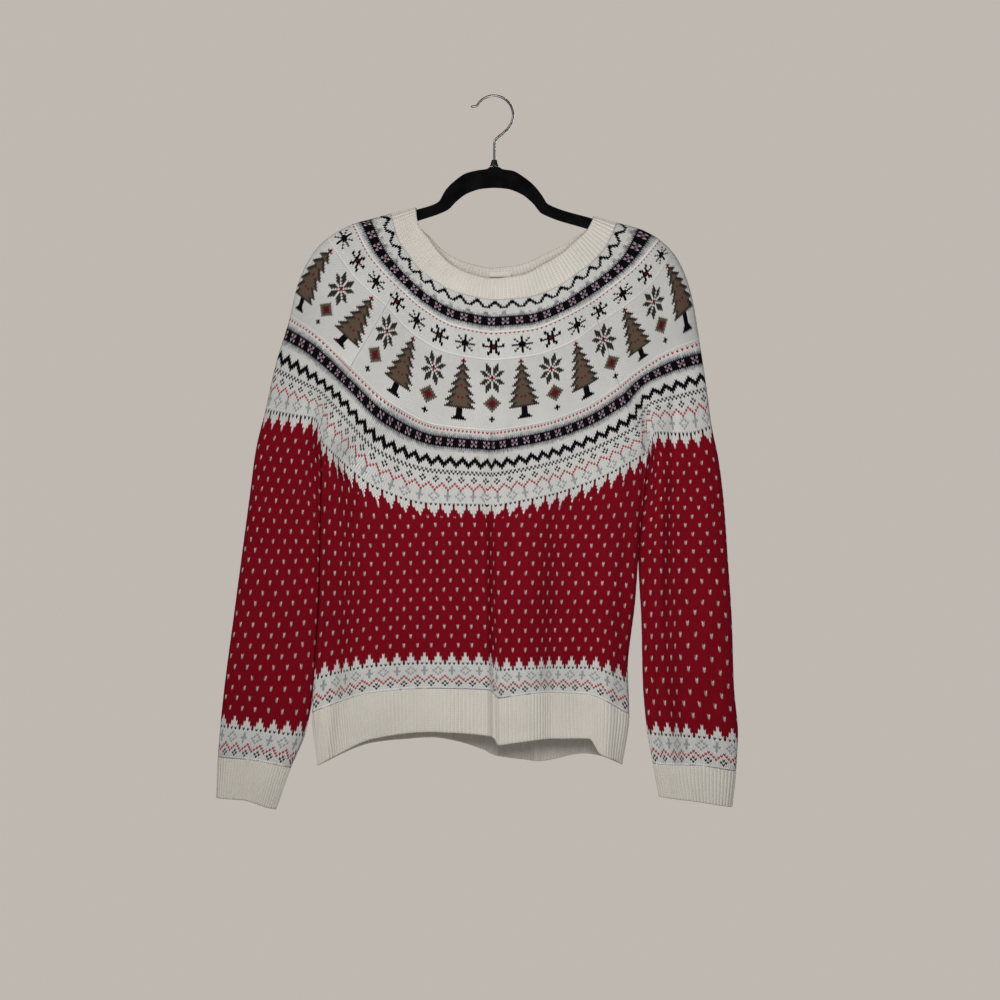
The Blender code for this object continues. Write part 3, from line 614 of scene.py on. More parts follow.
def facePoints(piece, row, station, side):
    # Points and outward directions of a piece's face at table rows and garment stations.
    table = tables[piece]
    local = station - firstStation[piece]
    flat = clothAt(table, row, local)
    points, outward = standOff(liftBack(flat, np.broadcast_to(side, flat.shape[:-1])), side)
    if piece == "neck":
        return points, outward
    # Below the armpits the body's side seams lie forward and the underarm seams backward, so
    # that the cloths lie against each other.
    seams = {"front": (0, 8), "back": (0, 8), "left": (3,), "right": (0,)}[piece]
    rows = np.broadcast_to(row, flat.shape[:-1])
    down = smoothStep(rows - yokeEdge)
    for seam in seams:
        line = clothAt(table, rows, np.full(rows.shape, float(seam)))
        beside = np.abs(flat[..., 0] - line[..., 0])
        shift = garment["lap"] * down * np.exp(-((beside / garment["lapReach"]) ** 2))
        points[..., 1] += shift if piece in ("left", "right") else -shift
    if piece == "front":
        start, middle, end, drop = garment["hemDrop"]
        x = flat[..., 0]
        there = smoothStep((x - start) / (middle - start)) * smoothStep((end - x) / (end - middle))
        points[..., 2] -= drop * there * np.clip(rows - (len(table) - 2), 0, 1)
    return points, outward


# Each piece is knitted across these runs of side, first and last station, which follow each
# other as seen from outside.
runs = {
    "front": ((-1, 3, 11),),
    "right": ((-1, 11, 14), (1, 14, 11)),
    "back": ((1, 11, 3),),
    "left": ((1, 3, 0), (-1, 0, 3)),
}


def evenStations(piece, side, start, end, row, count):
    # Stations that cut the cloth's line at a table row into equal lengths, but shorter ones
    # where the front is gathered.
    dense = np.linspace(start, end, 401)
    points, _ = facePoints(piece, np.full(dense.shape, float(row)), dense, side)
    closer = np.ones(dense.shape)
    top, over = garment["gathersFrom"]
    for x, halfWidth, more in garment["gathers"].get(piece, ()) if side < 0 else ():
        low = smoothStep((top - points[:, 2]) / over)
        closer += more * low * np.exp(-(((points[:, 0] - x) / halfWidth) ** 2))
    steps = np.linalg.norm(np.diff(points, axis=0), axis=1) * (closer[1:] + closer[:-1]) / 2
    length = np.append(0, np.cumsum(steps))
    return np.interp(np.linspace(0, length[-1], count + 1), length, dense), length[-1]


def ringCounts(total, row):
    # Shares a round's stitches between half a left sleeve, a panel and half a right sleeve.
    lengths = [
        evenStations(name, -1, start, end, row, 2)[1]
        for name, start, end in (("left", 0, 3), ("front", 3, 11), ("right", 11, 14))
    ]
    half = total // 2
    left = round(half * lengths[0] / sum(lengths))
    right = round(half * lengths[2] / sum(lengths))
    return left, half - left - right, right


def waleLines(piece, counts, row):
    # Stations, sides and ring numbers of a piece's wale edges and wale middles at a table row.
    left, panel, right = counts
    half = left + panel + right
    starts = {"front": (left,), "right": (left + panel, half), "back": (half + right,),
              "left": (half + right + panel, 2 * half)}
    number = {"front": panel, "back": panel, "left": left, "right": right}[piece]
    stations, sides, rings = [], [], []
    for (side, start, end), first in zip(runs[piece], starts[piece]):
        line, _ = evenStations(piece, side, start, end, row, 2 * number)
        stations.append(line if not stations else line[1:])
        sides.append(np.full(2 * number, float(side)))
        rings.append(first + np.arange(number))
    sides = [sides[0], *[np.append(0.0, s[1:]) for s in sides[1:]], sides[-1][-1:]]
    return np.concatenate(stations), np.concatenate(sides), np.concatenate(rings)


def toLinear(text):
    # sRGB hex to linear light.
    value = np.array([int(text[k:k + 2], 16) for k in (1, 3, 5)]) / 255
    return np.where(value <= 0.04045, value / 12.92, ((value + 0.055) / 1.055) ** 2.4)


yarnLinear = {letter: toLinear(value) for letter, value in yarns.items()}
blends = {
    "marl": {"m": 0.35, "n": 0.8},  # the share of grey in the two marls
    "marlSpread": 0.16,
    "dot": 0.9,               # the share of white in a lone white stitch
    "belowDot": 0.42,         # and in the half-hidden one below it
    "drawnIn": (0.6, 0.15),   # the share of red in its drawn-in leg: middle and spread
    "drawnInEnds": (0.25, 0.9),
    "rightLeg": 0.15,         # in how many of them that is the right leg
}
dice = np.random.default_rng(12)


def blend(first, second, share):
    # The colour of two yarns together, with this share of the first.
    return share * yarnLinear[first] + (1 - share) * yarnLinear[second]


def chartColours(chart, rings, shift):
    # Two colours a stitch, one a leg: each row's letters repeat round the ring, and a marl mixes
    # two yarns. One leg of a lone white stitch is half drawn in behind the red.
    colours = np.empty((len(chart), len(rings), 2, 3))
    for row, letters in enumerate(chart):
        codes = np.array(list(letters))[(rings + shift) % len(letters)]
        for letter in sorted(set(letters)):
            here = codes == letter
            count = here.sum()
            if letter in blends["marl"]:
                share = blends["marl"][letter] + dice.normal(0, blends["marlSpread"], count)
                colours[row, here] = blend("g", "w", np.clip(share, 0, 1)[:, None, None])
            elif letter == "v":
                colours[row, here] = blend("w", "r", blends["belowDot"])
            elif letter == "w":
                colours[row, here] = blend("w", "r", blends["dot"])
                share = np.clip(dice.normal(*blends["drawnIn"], count), *blends["drawnInEnds"])
                leg = (dice.random(count) < blends["rightLeg"]).astype(int)
                colours[row, np.flatnonzero(here), leg] = blend("r", "w", share[:, None])
            else:
                colours[row, here] = yarnLinear["w" if letter == "." else letter]
    return colours.reshape(len(chart), -1, 3)


def newCloth():
    # What a piece collects before it becomes a mesh.
    return {"points": [], "faces": [], "colours": [], "uvs": [], "slots": [], "count": 0}


def addPoints(cloth, points):
    # Adds a grid of points, and gives the grid of their numbers.
    index = cloth["count"] + np.arange(points[..., 0].size).reshape(points.shape[:-1])
    cloth["points"].append(points.reshape(-1, 3))
    cloth["count"] += index.size
    return index


def addFaces(cloth, corners, colours, uvs, slot=0):
    # corners is faces by corners, colours faces by 3, uvs faces by corners by 2.
    cloth["faces"].append(corners)
    cloth["colours"].append(np.broadcast_to(colours, (len(corners), 3)))
    cloth["uvs"].append(uvs)
    cloth["slots"].append(np.full(len(corners), slot))


def addQuads(cloth, index, u, v, colours, slot=0, flip=False):
    # Quads between the points of a grid, top left, low left, low right, top right. A quad whose
    # side has run to nothing becomes a triangle, and one with no area is left out.
    corners = np.stack([index[:-1, :-1], index[1:, :-1], index[1:, 1:], index[:-1, 1:]], -1)
    u, v = np.broadcast_arrays(u, v)
    grid = np.stack([u, v], -1)
    uvs = np.stack([grid[:-1, :-1], grid[1:, :-1], grid[1:, 1:], grid[:-1, 1:]], -2)
    corners, uvs = corners.reshape(-1, 4), uvs.reshape(-1, 4, 2)
    colours = np.broadcast_to(colours, index[:-1, :-1].shape + (3,)).reshape(-1, 3)
    leftGone = corners[:, 0] == corners[:, 1]
    rightGone = corners[:, 2] == corners[:, 3]
    for keep, order in (
        (~leftGone & ~rightGone, [0, 1, 2, 3]),
        (leftGone & ~rightGone, [1, 2, 3]),
        (~leftGone & rightGone, [0, 1, 2]),
    ):
        if keep.any():
            turned = order[::-1] if flip else order
            addFaces(cloth, corners[keep][:, turned], colours[keep], uvs[keep][:, turned], slot)


def addStrip(cloth, top, topPlace, low, lowPlace, colour, uvTop, uvLow):
    # Triangles that join two lines of points with unlike counts: at each step the line that
    # lags behind moves on by one point.
    nextPlaces = np.concatenate([topPlace[1:], lowPlace[1:]])
    order = np.argsort(nextPlaces, kind="stable")
    fromTop = order < len(topPlace) - 1
    topDone = np.cumsum(fromTop) - fromTop
    lowDone = np.cumsum(~fromTop) - ~fromTop
    nextTop = np.minimum(topDone + 1, len(top) - 1)
    nextLow = np.minimum(lowDone + 1, len(low) - 1)
    third = np.where(fromTop, top[nextTop], low[nextLow])
    corners = np.stack([top[topDone], low[lowDone], third], -1)
    third = np.where(fromTop[:, None], uvTop[nextTop], uvLow[nextLow])
    uvs = np.stack([uvTop[topDone], uvLow[lowDone], third], -2)
    addFaces(cloth, corners, colour(nextPlaces[order]) if callable(colour) else colour, uvs)


def buildPiece(name, cloth, materials):
    # The collected points and faces become one mesh, in metres, with its colours and stitch map.
    mesh = bpy.data.meshes.new(name)
    points = np.concatenate(cloth["points"]) * mm
    corners = np.concatenate([f.reshape(-1) for f in cloth["faces"]])
    sizes = np.concatenate([np.full(len(f), f.shape[1]) for f in cloth["faces"]])
    used, corners = np.unique(corners, return_inverse=True)
    mesh.vertices.add(len(used))
    mesh.vertices.foreach_set("co", points[used].ravel())
    mesh.loops.add(len(corners))
    mesh.loops.foreach_set("vertex_index", corners.astype(np.int32))
    mesh.polygons.add(len(sizes))
    mesh.polygons.foreach_set("loop_start", (np.cumsum(sizes) - sizes).astype(np.int32))
    mesh.polygons.foreach_set("material_index", np.concatenate(cloth["slots"]).astype(np.int32))
    mesh.update(calc_edges=True)
    colours = np.concatenate(cloth["colours"])
    layer = mesh.attributes.new("yarn", "FLOAT_COLOR", "FACE")
    layer.data.foreach_set("color", np.append(colours, np.ones((len(colours), 1)), 1).ravel())
    stitchMap = mesh.uv_layers.new(name="stitches")
    uvs = np.concatenate([u.reshape(-1, 2) for u in cloth["uvs"]])
    stitchMap.data.foreach_set("uv", uvs.ravel())
    for material in materials:
        mesh.materials.append(material)
    mesh.shade_smooth()
    piece = bpy.data.objects.new(name, mesh)
    bpy.context.scene.collection.objects.link(piece)
    return piece


def zigzag(rows, runsOn=False):
    # Row lines are higher at the wale edges than at the wale middles, but not at a block's top,
    # nor at its foot unless the same wales run on below it.
    lifted = rows.copy()
    last = len(rows) if runsOn else len(rows) - 1
    lifted[1:last, ::2] -= knitting["slant"] * (rows[1:last, ::2] - rows[:last - 1, ::2])
    return lifted


def unevenness(shape, amount):
    # A little random change for each wale, plus a smaller one for each stitch.
    return dice.normal(0, amount, (1, shape[1])) + dice.normal(0, 0.6 * amount, shape)


def stitchFace(piece, rows, stations, sides):
    # Points of stocking stitch at row lines by wale edges and middles: the cloth sinks at the
    # wale edges and stands out a little at the middles.
    points, outward = facePoints(piece, rows, stations, sides)
    edge = np.arange(rows.shape[1]) % 2 == 0
    relief = np.where(edge, -knitting["groove"], knitting["crown"])[None, :]
    relief = relief + unevenness(rows.shape, knitting["uneven"])
    relief[:, [0, -1]] = -knitting["groove"]
    return points + outward * relief[..., None]


def linesDown(zs):
    # Table rows at which the line beside the crease comes down to heights zs.
    station = float(besideCrease - firstStation["front"])
    return rowAtHeight(tables["front"], np.full(len(zs), station), zs)


def yokeBlocks():
    # The yoke's blocks from the neck down: chart, stitches in the round, and its row lines.
    # A thin line of plain cloth between two blocks takes the change of count.
    seam, edge = yokeTable[[0, -1], besideCrease, 1]
    charts = (upperBands, motifTops, motifs)
    count = sum(len(chart) for chart in charts) + len(charts) * knitting["join"]
    step = (seam - knitting["bandsTop"]) / count
    blocks = []
    z = seam
    for chart, total in zip(charts, knitting["rounds"]):
        lines = z - step * np.arange(len(chart) + 1)
        blocks.append({"chart": chart, "total": total, "z": lines, "shift": 0})
        z = lines[-1] - knitting["join"] * step
    lines = np.linspace(z, edge, len(lowerBands) + 1)
    blocks.append({"chart": lowerBands, "total": knitting["rounds"][-1], "z": lines})
    for block in blocks:
        block["rows"] = linesDown(block["z"])
        block["middle"] = block["rows"][len(block["rows"]) // 2]
        block["counts"] = ringCounts(block["total"], block["middle"])
    panel, sleeve = knitting["panelStitches"], knitting["sleeveStitches"]
    blocks[-1]["counts"] = (sleeve, panel, sleeve)
    blocks[0]["rows"][0] = 0.0
    blocks[-1]["rows"][-1] = yokeEdge
    for block in blocks[1:3]:
        block["middle"] = knitting["motifRow"]
    return blocks


yoke = yokeBlocks()


def toothShift():
    # How far the charts of the lower bands turn, to put the middle of a tooth at toothX in front.
    toothMiddle = 3  # the letter of a row under the tooth's tip
    repeat = max(len(letters) for letters in lowerBands)
    stations, sides, rings = waleLines("front", yoke[-1]["counts"], yoke[-1]["middle"])
    row = np.full(len(rings), float(yokeEdge))
    points, _ = facePoints("front", row, stations[1::2], sides[1::2])
    nearest = rings[np.abs(points[:, 0] - knitting["toothX"]).argmin()]
    return (toothMiddle - nearest) % repeat


yoke[-1]["shift"] = toothShift()
for block in yoke:
    print("yoke block:", block["total"], block["counts"], np.round(block["rows"][[0, -1]], 2))


def progress(stations):
    # How far along a piece each column is, from 0 to 1.
    travelled = np.append(0, np.cumsum(np.abs(np.diff(stations))))
    return travelled / travelled[-1]


def easeDown(rows, yokeStations, lowStations):
    # Wales keep to the yoke's stations at its edge, and ease to lowStations further down.
    share = smoothStep((rows - yokeEdge) / knitting["easeRows"])
    return yokeStations + (lowStations - yokeStations) * share


def settle(name, yokeStations, lowStations, zOf):
    # Table rows at heights zOf(stations). A wale's stations depend on its rows in turn, so the
    # two are found together in a few rounds.
    rows = zOf(None)
    for _ in range(3):
        stations = easeDown(rows, yokeStations, lowStations)
        z = zOf(stations)
        local = (stations - firstStation[name]).ravel()
        rows = rowAtHeight(tables[name], local, z.ravel()).reshape(z.shape)
        rows = np.maximum(rows, yokeEdge)
    return rows


def addBlock(cloth, name, rows, stations, sides, rings, chart, shift, topIndex, runsOn):
    # One block of stocking stitch. topIndex is the line of points that it grows out of, and
    # also takes every point that was held back to the block's top.
    heldBack = rows <= rows[0] + 1e-6
    rows = zigzag(rows, runsOn)
    index = addPoints(cloth, stitchFace(name, rows, stations, sides))
    if topIndex is not None:
        index = np.where(heldBack, topIndex[None, :], index)
    u = np.arange(rows.shape[1])[None, :] / 2 + rings[0]
    v = -np.arange(rows.shape[0])[:, None]
    addQuads(cloth, index, u, v, chartColours(chart, rings, shift))
    return index


plainSpot = (0.026, 0.5)  # a place of middling shade on the stitch map


def lineUv(count, first, v):
    # Places on the stitch map along a line of points, two points to a stitch.
    return np.stack([np.arange(count) / 2 + first, np.full(count, float(v))], -1)


def noteSides(borders, rows, index):
    # Keeps the table rows and points of a block's first and last columns, without those that
    # were held back to the line above.
    for border, column in zip(borders, (0, -1)):
        grown = np.append(True, np.diff(rows[:, column]) > 1e-6)
        if border:  # a block that grows out of the one above shares its first point
            grown[0] = index[0, column] != border[-1][1][-1]
            grown &= rows[:, column] > border[-1][0][-1] + 1e-6
        border.append((rows[:, column][grown], index[:, column][grown]))


def leanOver(name, rows, stations, middle):
    # Turns a panel's wales square to their rows, by as many mm a row as the rows' slope asks
    # for, and not at the panel's sides. They hang straight again by the yoke's edge.
    first, last = 3, 11
    nudge, spread, fade = 0.1, 30, 0.1
    dense = np.linspace(first, last, 801)
    local = dense - firstStation[name]
    line = clothAt(tables[name], middle, local)
    along = np.gradient(line, axis=0)
    along = along / np.linalg.norm(along, axis=1, keepdims=True)
    down = clothAt(tables[name], middle + nudge, local)
    down = down - clothAt(tables[name], middle - nudge, local)
    turn = np.pad(-(along * down).sum(-1) / (2 * nudge), spread, mode="edge")
    turn = np.convolve(turn, np.ones(2 * spread + 1) / (2 * spread + 1), "valid")
    length = np.append(0, np.cumsum(np.linalg.norm(np.diff(line, axis=0), axis=1)))
    place = (dense - first) / (last - first)
    turn = turn * smoothStep(place / fade) * smoothStep((1 - place) / fade) * knitting["bandLean"]
    offset = np.interp(stations, dense, turn) * (np.minimum(rows, yokeEdge - 0.2) - middle)
    return np.interp(np.interp(stations, dense, length) + offset, length, dense)


def yokeRows(cloth, name):
    # The yoke's four blocks of one piece. Where the count changes, a thin strip joins them.
    borders = [[], []]
    last = None
    for block in yoke:
        runsOn = block is yoke[-1]
        stations, sides, rings = waleLines(name, block["counts"], block["middle"])
        rows = np.repeat(block["rows"][:, None], len(stations), 1)
        at = np.broadcast_to(stations, rows.shape)
        if runsOn and name in ("front", "back"):
            at = leanOver(name, rows, stations, block["middle"])
        index = addBlock(cloth, name, rows, at, sides, rings, block["chart"], block["shift"],
                         None, runsOn)
        if last is not None:
            spots = [np.full((len(line), 2), plainSpot) for line in (last[0], index[0])]
            addStrip(cloth, *last, index[0], progress(stations),
                     yarnLinear["w"] * knitting["joinShade"], *spots)
        last = (index[-1], progress(stations))
        noteSides(borders, zigzag(rows, runsOn), index)
    return index, at[-1], sides, rings, borders


def iceAt(rowNumber):
    # Lice: small white marks on every fifth row, in turn under a tooth and between two. Each is
    # one white stitch and a half-hidden one below it.
    if rowNumber % 5 > 1:
        return "r"
    mark = "w" if rowNumber % 5 == 0 else "v"
    return ("rrr%srr" if rowNumber % 10 < 5 else "%srrrrr") % mark


def closeShell(cloth, outer, borders, inner, innerRows, places, innerPlaces):
    # Joins the outer face's four borders to the inner face's.
    def strip(top, topPlace, low, lowPlace, colour=yarnLinear["w"]):
        addStrip(cloth, top, topPlace, low, lowPlace, colour, lineUv(len(top), 0, 0),
                 lineUv(len(low), 0, -0.5))

    def besideRow(rows):
        red = (rows > yokeEdge) & (rows < innerRows[-1] - 1)
        return np.where(red[:, None], yarnLinear["r"], yarnLinear["w"])

    strip(inner[0], innerPlaces, outer[0], places[0])
    strip(outer[1], places[1], inner[-1], innerPlaces)
    strip(inner[:, -1], innerRows, borders[1][1], borders[1][0], besideRow)
    strip(borders[0][1], borders[0][0], inner[:, 0], innerRows, besideRow)


def floats(rows, bandsFrom):
    # Inside colours: mixed brown and white behind the yoke, red and white behind the bands from
    # a table row down, and plain red elsewhere.
    mixed = np.where(dice.random(rows.shape) < 0.5, 1.0, 0.0)[..., None]
    yokePart = (rows < yokeEdge)[..., None]
    bandPart = (rows > bandsFrom)[..., None]
    plain = yarnLinear["r"] * 0.8  # the back of a stitch is duller
    below = np.where(bandPart, blend("w", "r", mixed), plain)
    return np.where(yokePart, blend("w", "t", mixed), below)


def innerFace(cloth, name, rows, stations, sides, bandsFrom):
    # The inside of the cloth, one cell a wale across: the face's points, moved in by the
    # cloth's thickness.
    points, outward = facePoints(name, rows, stations, sides)
    index = addPoints(cloth, points - outward * (garment["cloth"] - 0.1))
    u = np.arange(rows.shape[1])[None, :]
    v = -np.arange(rows.shape[0])[:, None] * 2.0
    addQuads(cloth, index, u, v, floats(rows[:-1, :-1], bandsFrom), slot=1, flip=True)
    return index


def knitPiece(name, cloth):
    # A whole front, back or sleeve: yoke, teeth, lice rows, lower bands, inside and edges.
    index, stations, sides, rings, borders = yokeRows(cloth, name)
    table = tables[name]
    panel = name in ("front", "back")
    elbow, hip, low = yokeEdge + 3, yokeEdge + 4, len(table) - 2
    plainEnd = hip if panel else elbow
    topStations = waleLines(name, yoke[0]["counts"], yoke[0]["middle"])[0]
    each = (len(stations) - 1) // len(runs[name])
    lines = [evenStations(name, *run, elbow, each)[0] for run in runs[name]]
    lowStations = np.concatenate([lines[0], *[line[1:] for line in lines[1:]]])

    def heightAt(row, at):  # height of the cloth at stations of a table row
        local = at - firstStation[name]
        return clothAt(table, np.broadcast_to(float(row), local.shape), local)[..., 1]

    def knit(rows, at, chart, runsOn):  # one more block below the last, which it takes up
        index = addBlock(cloth, name, rows, at, sides, rings, chart, yoke[-1]["shift"], last,
                         runsOn)
        noteSides(borders, zigzag(rows, runsOn), index)
        return index[-1]

    last = index[-1]
    if panel:
        line = np.arange(len(teeth) + 1) / len(teeth) + yokeEdge
        rows = np.repeat(line[:, None], len(stations), 1)
        last = knit(rows, easeDown(rows, stations, lowStations), teeth, True)
        numbers = np.arange(-knitting["rowsAbove"], knitting["bodyRows"] + 1)
        chart = [iceAt(n) for n in numbers[:-1]]
        first = yokeEdge + 1
    else:
        numbers = np.arange(knitting["elbowRows"] + 1)
        chart = [*teeth, *[iceAt(n - knitting["sleeveDots"]) for n in numbers[len(teeth):-1]]]
        first = yokeEdge
    count = numbers[:, None]

    def panelHeights(at):  # even rows from the first whole one to the hip, and a wave above it
        if at is None:
            return np.full((len(numbers), len(stations)), yokeEdge + 3.0)
        x = clothAt(table, np.full(at.shape, yokeEdge + 1.5), at - firstStation[name])[..., 0]
        wave = np.array(knitting["bodyWave"], float)
        top = knitting["bodyTopLine"] + np.interp(x, wave[:, 0], wave[:, 1])
        below = top + (heightAt(hip, at) - top) * count / knitting["bodyRows"]
        return np.where(count < 0, top - np.interp(x, wave[:, 0], wave[:, 2]) * count, below)

    def sleeveHeights(at):  # even rows from the yoke's edge to the elbow
        total = knitting["elbowRows"]
        if at is None:
            return yokeEdge + 3.0 * count / total * np.ones((1, len(stations)))
        top = heightAt(yokeEdge, stations)[None, :]
        return top + (heightAt(elbow, lowStations)[None, :] - top) * count / total

    rows = settle(name, stations, lowStations, panelHeights if panel else sleeveHeights)
    rows = np.maximum(rows, first)
    rows[0], rows[-1] = first, plainEnd
    last = knit(rows, easeDown(rows, stations, lowStations), chart, True)

    chart = list(hemBands)
    if not panel:
        dots = range(knitting["elbowRows"], knitting["sleeveRows"])
        chart = [iceAt(n - knitting["sleeveDots"]) for n in dots] + chart
    line = np.linspace(plainEnd, low, len(chart) + 1)
    if not panel:  # rows of even height down the sleeve's second station
        beside = np.full(len(line), 1.0)
        heights = clothAt(table, line, beside)[:, 1]
        line = rowAtHeight(table, beside, np.linspace(heights[0], heights[-1], len(line)))
        line[0], line[-1] = plainEnd, low
    rows = np.repeat(line[:, None], len(stations), 1)
    last = knit(rows, np.broadcast_to(lowStations, rows.shape), chart, False)
    borders = [[np.concatenate(part) for part in zip(*border)] for border in borders]

    inYoke, below = knitting["insideRows"]
    innerRows = np.linspace(0, yokeEdge, inYoke), np.linspace(yokeEdge, low, below)[1:]
    innerRows = np.concatenate(innerRows)
    innerStations = stations[::2]
    grid = np.repeat(innerRows[:, None], len(innerStations), 1)
    at = easeDown(grid, innerStations, lowStations[::2])
    inner = innerFace(cloth, name, grid, at, sides[::2], low - (1 if panel else 1.2))
    closeShell(cloth, (np.arange(len(topStations)), last), borders, inner, innerRows,
               (progress(topStations), progress(lowStations)), progress(innerStations))


def addNode(tree, kind, settings=None, links=None, at=(0, 0)):
    # Adds a shader node, sets its inputs and properties, and links its inputs.
    node = tree.nodes.new(kind)
    node.location = at
    for key, value in (settings or {}).items():
        if isinstance(key, str) and hasattr(node, key):
            setattr(node, key, value)
        else:
            node.inputs[key].default_value = value
    for key, source in (links or {}).items():
        tree.links.new(source, node.inputs[key])
    return node


def newMaterial(name):
    # A material with its node tree and its main shader.
    material = bpy.data.materials.new(name)
    material.use_nodes = True
    tree = material.node_tree
    return material, tree, tree.nodes["Principled BSDF"]


def knitMaterial(name, bumpDepth, fleck, paintedGapShade, stained=False):
    # Wool-blend knit: the yarn attribute's colour, mottled a little, with painted shade that
    # darkens it in the gaps between the legs of the stitches, a strand bump and a soft sheen of
    # loose fibres.
    material, tree, shader = newMaterial(name)
    yarn = addNode(tree, "ShaderNodeAttribute", {"attribute_name": "yarn"})
    place = addNode(tree, "ShaderNodeUVMap", {"uv_map": "stitches"})
    split = addNode(tree, "ShaderNodeSeparateXYZ", links={0: place.outputs[0]})
    across = addNode(tree, "ShaderNodeMath", {"operation": "MULTIPLY", 1: 2 * math.pi},
                     {0: split.outputs[0]})
    across = addNode(tree, "ShaderNodeMath", {"operation": "SINE"}, {0: across.outputs[0]})
    leg = addNode(tree, "ShaderNodeMath", {"operation": "ABSOLUTE"}, {0: across.outputs[0]})
    down = addNode(tree, "ShaderNodeMath", {"operation": "MULTIPLY", 1: math.pi},
                   {0: split.outputs[1]})
    down = addNode(tree, "ShaderNodeMath", {"operation": "SINE"}, {0: down.outputs[0]})
    down = addNode(tree, "ShaderNodeMath", {"operation": "ABSOLUTE"}, {0: down.outputs[0]})
    strand = addNode(tree, "ShaderNodeMath", {"operation": "MULTIPLY"},
                     {0: leg.outputs[0], 1: down.outputs[0]})
    strand = addNode(tree, "ShaderNodeMath", {"operation": "POWER", 1: 0.5},
                     {0: strand.outputs[0]})
    where = addNode(tree, "ShaderNodeTexCoord")
    # Tufts of fibre about 1 mm across, and wear in clouds of some 45 mm
    fibres = addNode(tree, "ShaderNodeTexNoise", {"Scale": 900.0, "Detail": 3.0, "Roughness": 0.6},
                     {"Vector": where.outputs["Object"]})
    wear = addNode(tree, "ShaderNodeTexNoise", {"Scale": 22.0, "Detail": 4.0},
                   {"Vector": where.outputs["Object"]})
    height = addNode(tree, "ShaderNodeMath", {"operation": "MULTIPLY_ADD", 1: 0.35},
                     {0: fibres.outputs["Fac"], 2: strand.outputs[0]})
    bump = addNode(tree, "ShaderNodeBump", {"Strength": 1.0, "Distance": bumpDepth},
                   {"Height": height.outputs[0]})
    # Painted shade and light: the colour falls to the given share in the gaps between the stitches'
    # legs, where shade falls, and rises a little on the strands.
    shade = addNode(tree, "ShaderNodeMapRange",
                    {"From Min": 0.0, "From Max": 0.8, "To Min": paintedGapShade, "To Max": 1.1},
                    {"Value": strand.outputs[0]})
    mottle = addNode(tree, "ShaderNodeMapRange",
                     {"From Min": 0.3, "From Max": 0.7, "To Min": 1 - fleck, "To Max": 1 + fleck},
                     {"Value": fibres.outputs["Fac"]})
    patch = addNode(tree, "ShaderNodeMapRange",
                    {"From Min": 0.3, "From Max": 0.7, "To Min": 0.95, "To Max": 1.04},
                    {"Value": wear.outputs["Fac"]})
    tone = addNode(tree, "ShaderNodeMath", {"operation": "MULTIPLY"},
                   {0: shade.outputs[0], 1: mottle.outputs[0]})
    tone = addNode(tree, "ShaderNodeMath", {"operation": "MULTIPLY"},
                   {0: tone.outputs[0], 1: patch.outputs[0]})
    colour = addNode(tree, "ShaderNodeVectorMath", {"operation": "SCALE"},
                     {0: yarn.outputs["Color"], "Scale": tone.outputs[0]})
    if stained:  # a faint beige spot at the front of the yoke
        away = addNode(tree, "ShaderNodeVectorMath", {"operation": "DISTANCE", 1: stain["centre"]},
                       {0: where.outputs["Object"]})
        there = addNode(tree, "ShaderNodeMapRange",
                        {"From Min": stain["radius"], "From Max": 0.4 * stain["radius"],
                         "To Min": 0.0, "To Max": 1.0}, {"Value": away.outputs["Value"]})
        tinted = addNode(tree, "ShaderNodeVectorMath", {"operation": "MULTIPLY", 1: stain["tint"]},
                         {0: colour.outputs[0]})
        colour = addNode(tree, "ShaderNodeMix", {"data_type": "VECTOR"},
                         {0: there.outputs[0], 4: colour.outputs[0], 5: tinted.outputs[0]})
        tree.links.new(colour.outputs[1], shader.inputs["Base Color"])
    else:
        tree.links.new(colour.outputs[0], shader.inputs["Base Color"])
    tree.links.new(bump.outputs[0], shader.inputs["Normal"])
    shader.inputs["Roughness"].default_value = 0.92
    tree.links.new(yarn.outputs["Color"], shader.inputs["Sheen Tint"])
    shader.inputs["Specular IOR Level"].default_value = 0.08
    shader.inputs["Sheen Weight"].default_value = 0.35
    shader.inputs["Sheen Roughness"].default_value = 0.5
    return material


stain = {"centre": (-0.0205, -0.015, -0.4524), "radius": 0.005, "tint": (0.86, 0.76, 0.58)}
outsideKnit = knitMaterial("wool blend knit, right side", 0.0007, 0.12, 0.42, stained=True)
insideKnit = knitMaterial("wool blend knit, float side", 0.0008, 0.2, 0.6)

made = {}
for name, node in (("front", "front_panel"), ("back", "back_panel"),
                   ("left", "sleeve_left"), ("right", "sleeve_right")):
    cloth = newCloth()
    knitPiece(name, cloth)
    made[node] = buildPiece("knitted_" + node, cloth, [outsideKnit, insideKnit])
    print("knitted", node, len(made[node].data.polygons), "faces")


ribs = {
    "relief": 0.4,        # mm, how far a rib stands out of its band, and sinks between two
    "row": 2.4,           # mm, the height of one row of stitches
    "hem": 98,            # ribs across the front and across the back
    "cuff": 27,           # ribs on each side of a cuff
    "neck": 72,           # ribs on the front half and on the back half of the neckband
    "profile": (-1.0, -0.35, 0.6, 1.0, 0.85, 1.0, 0.6, -0.35),  # across one rib
    "unlike": 0.12,       # how much the ribs differ in relief
    "uneven": 0.05,       # mm, how much single stitches do
}


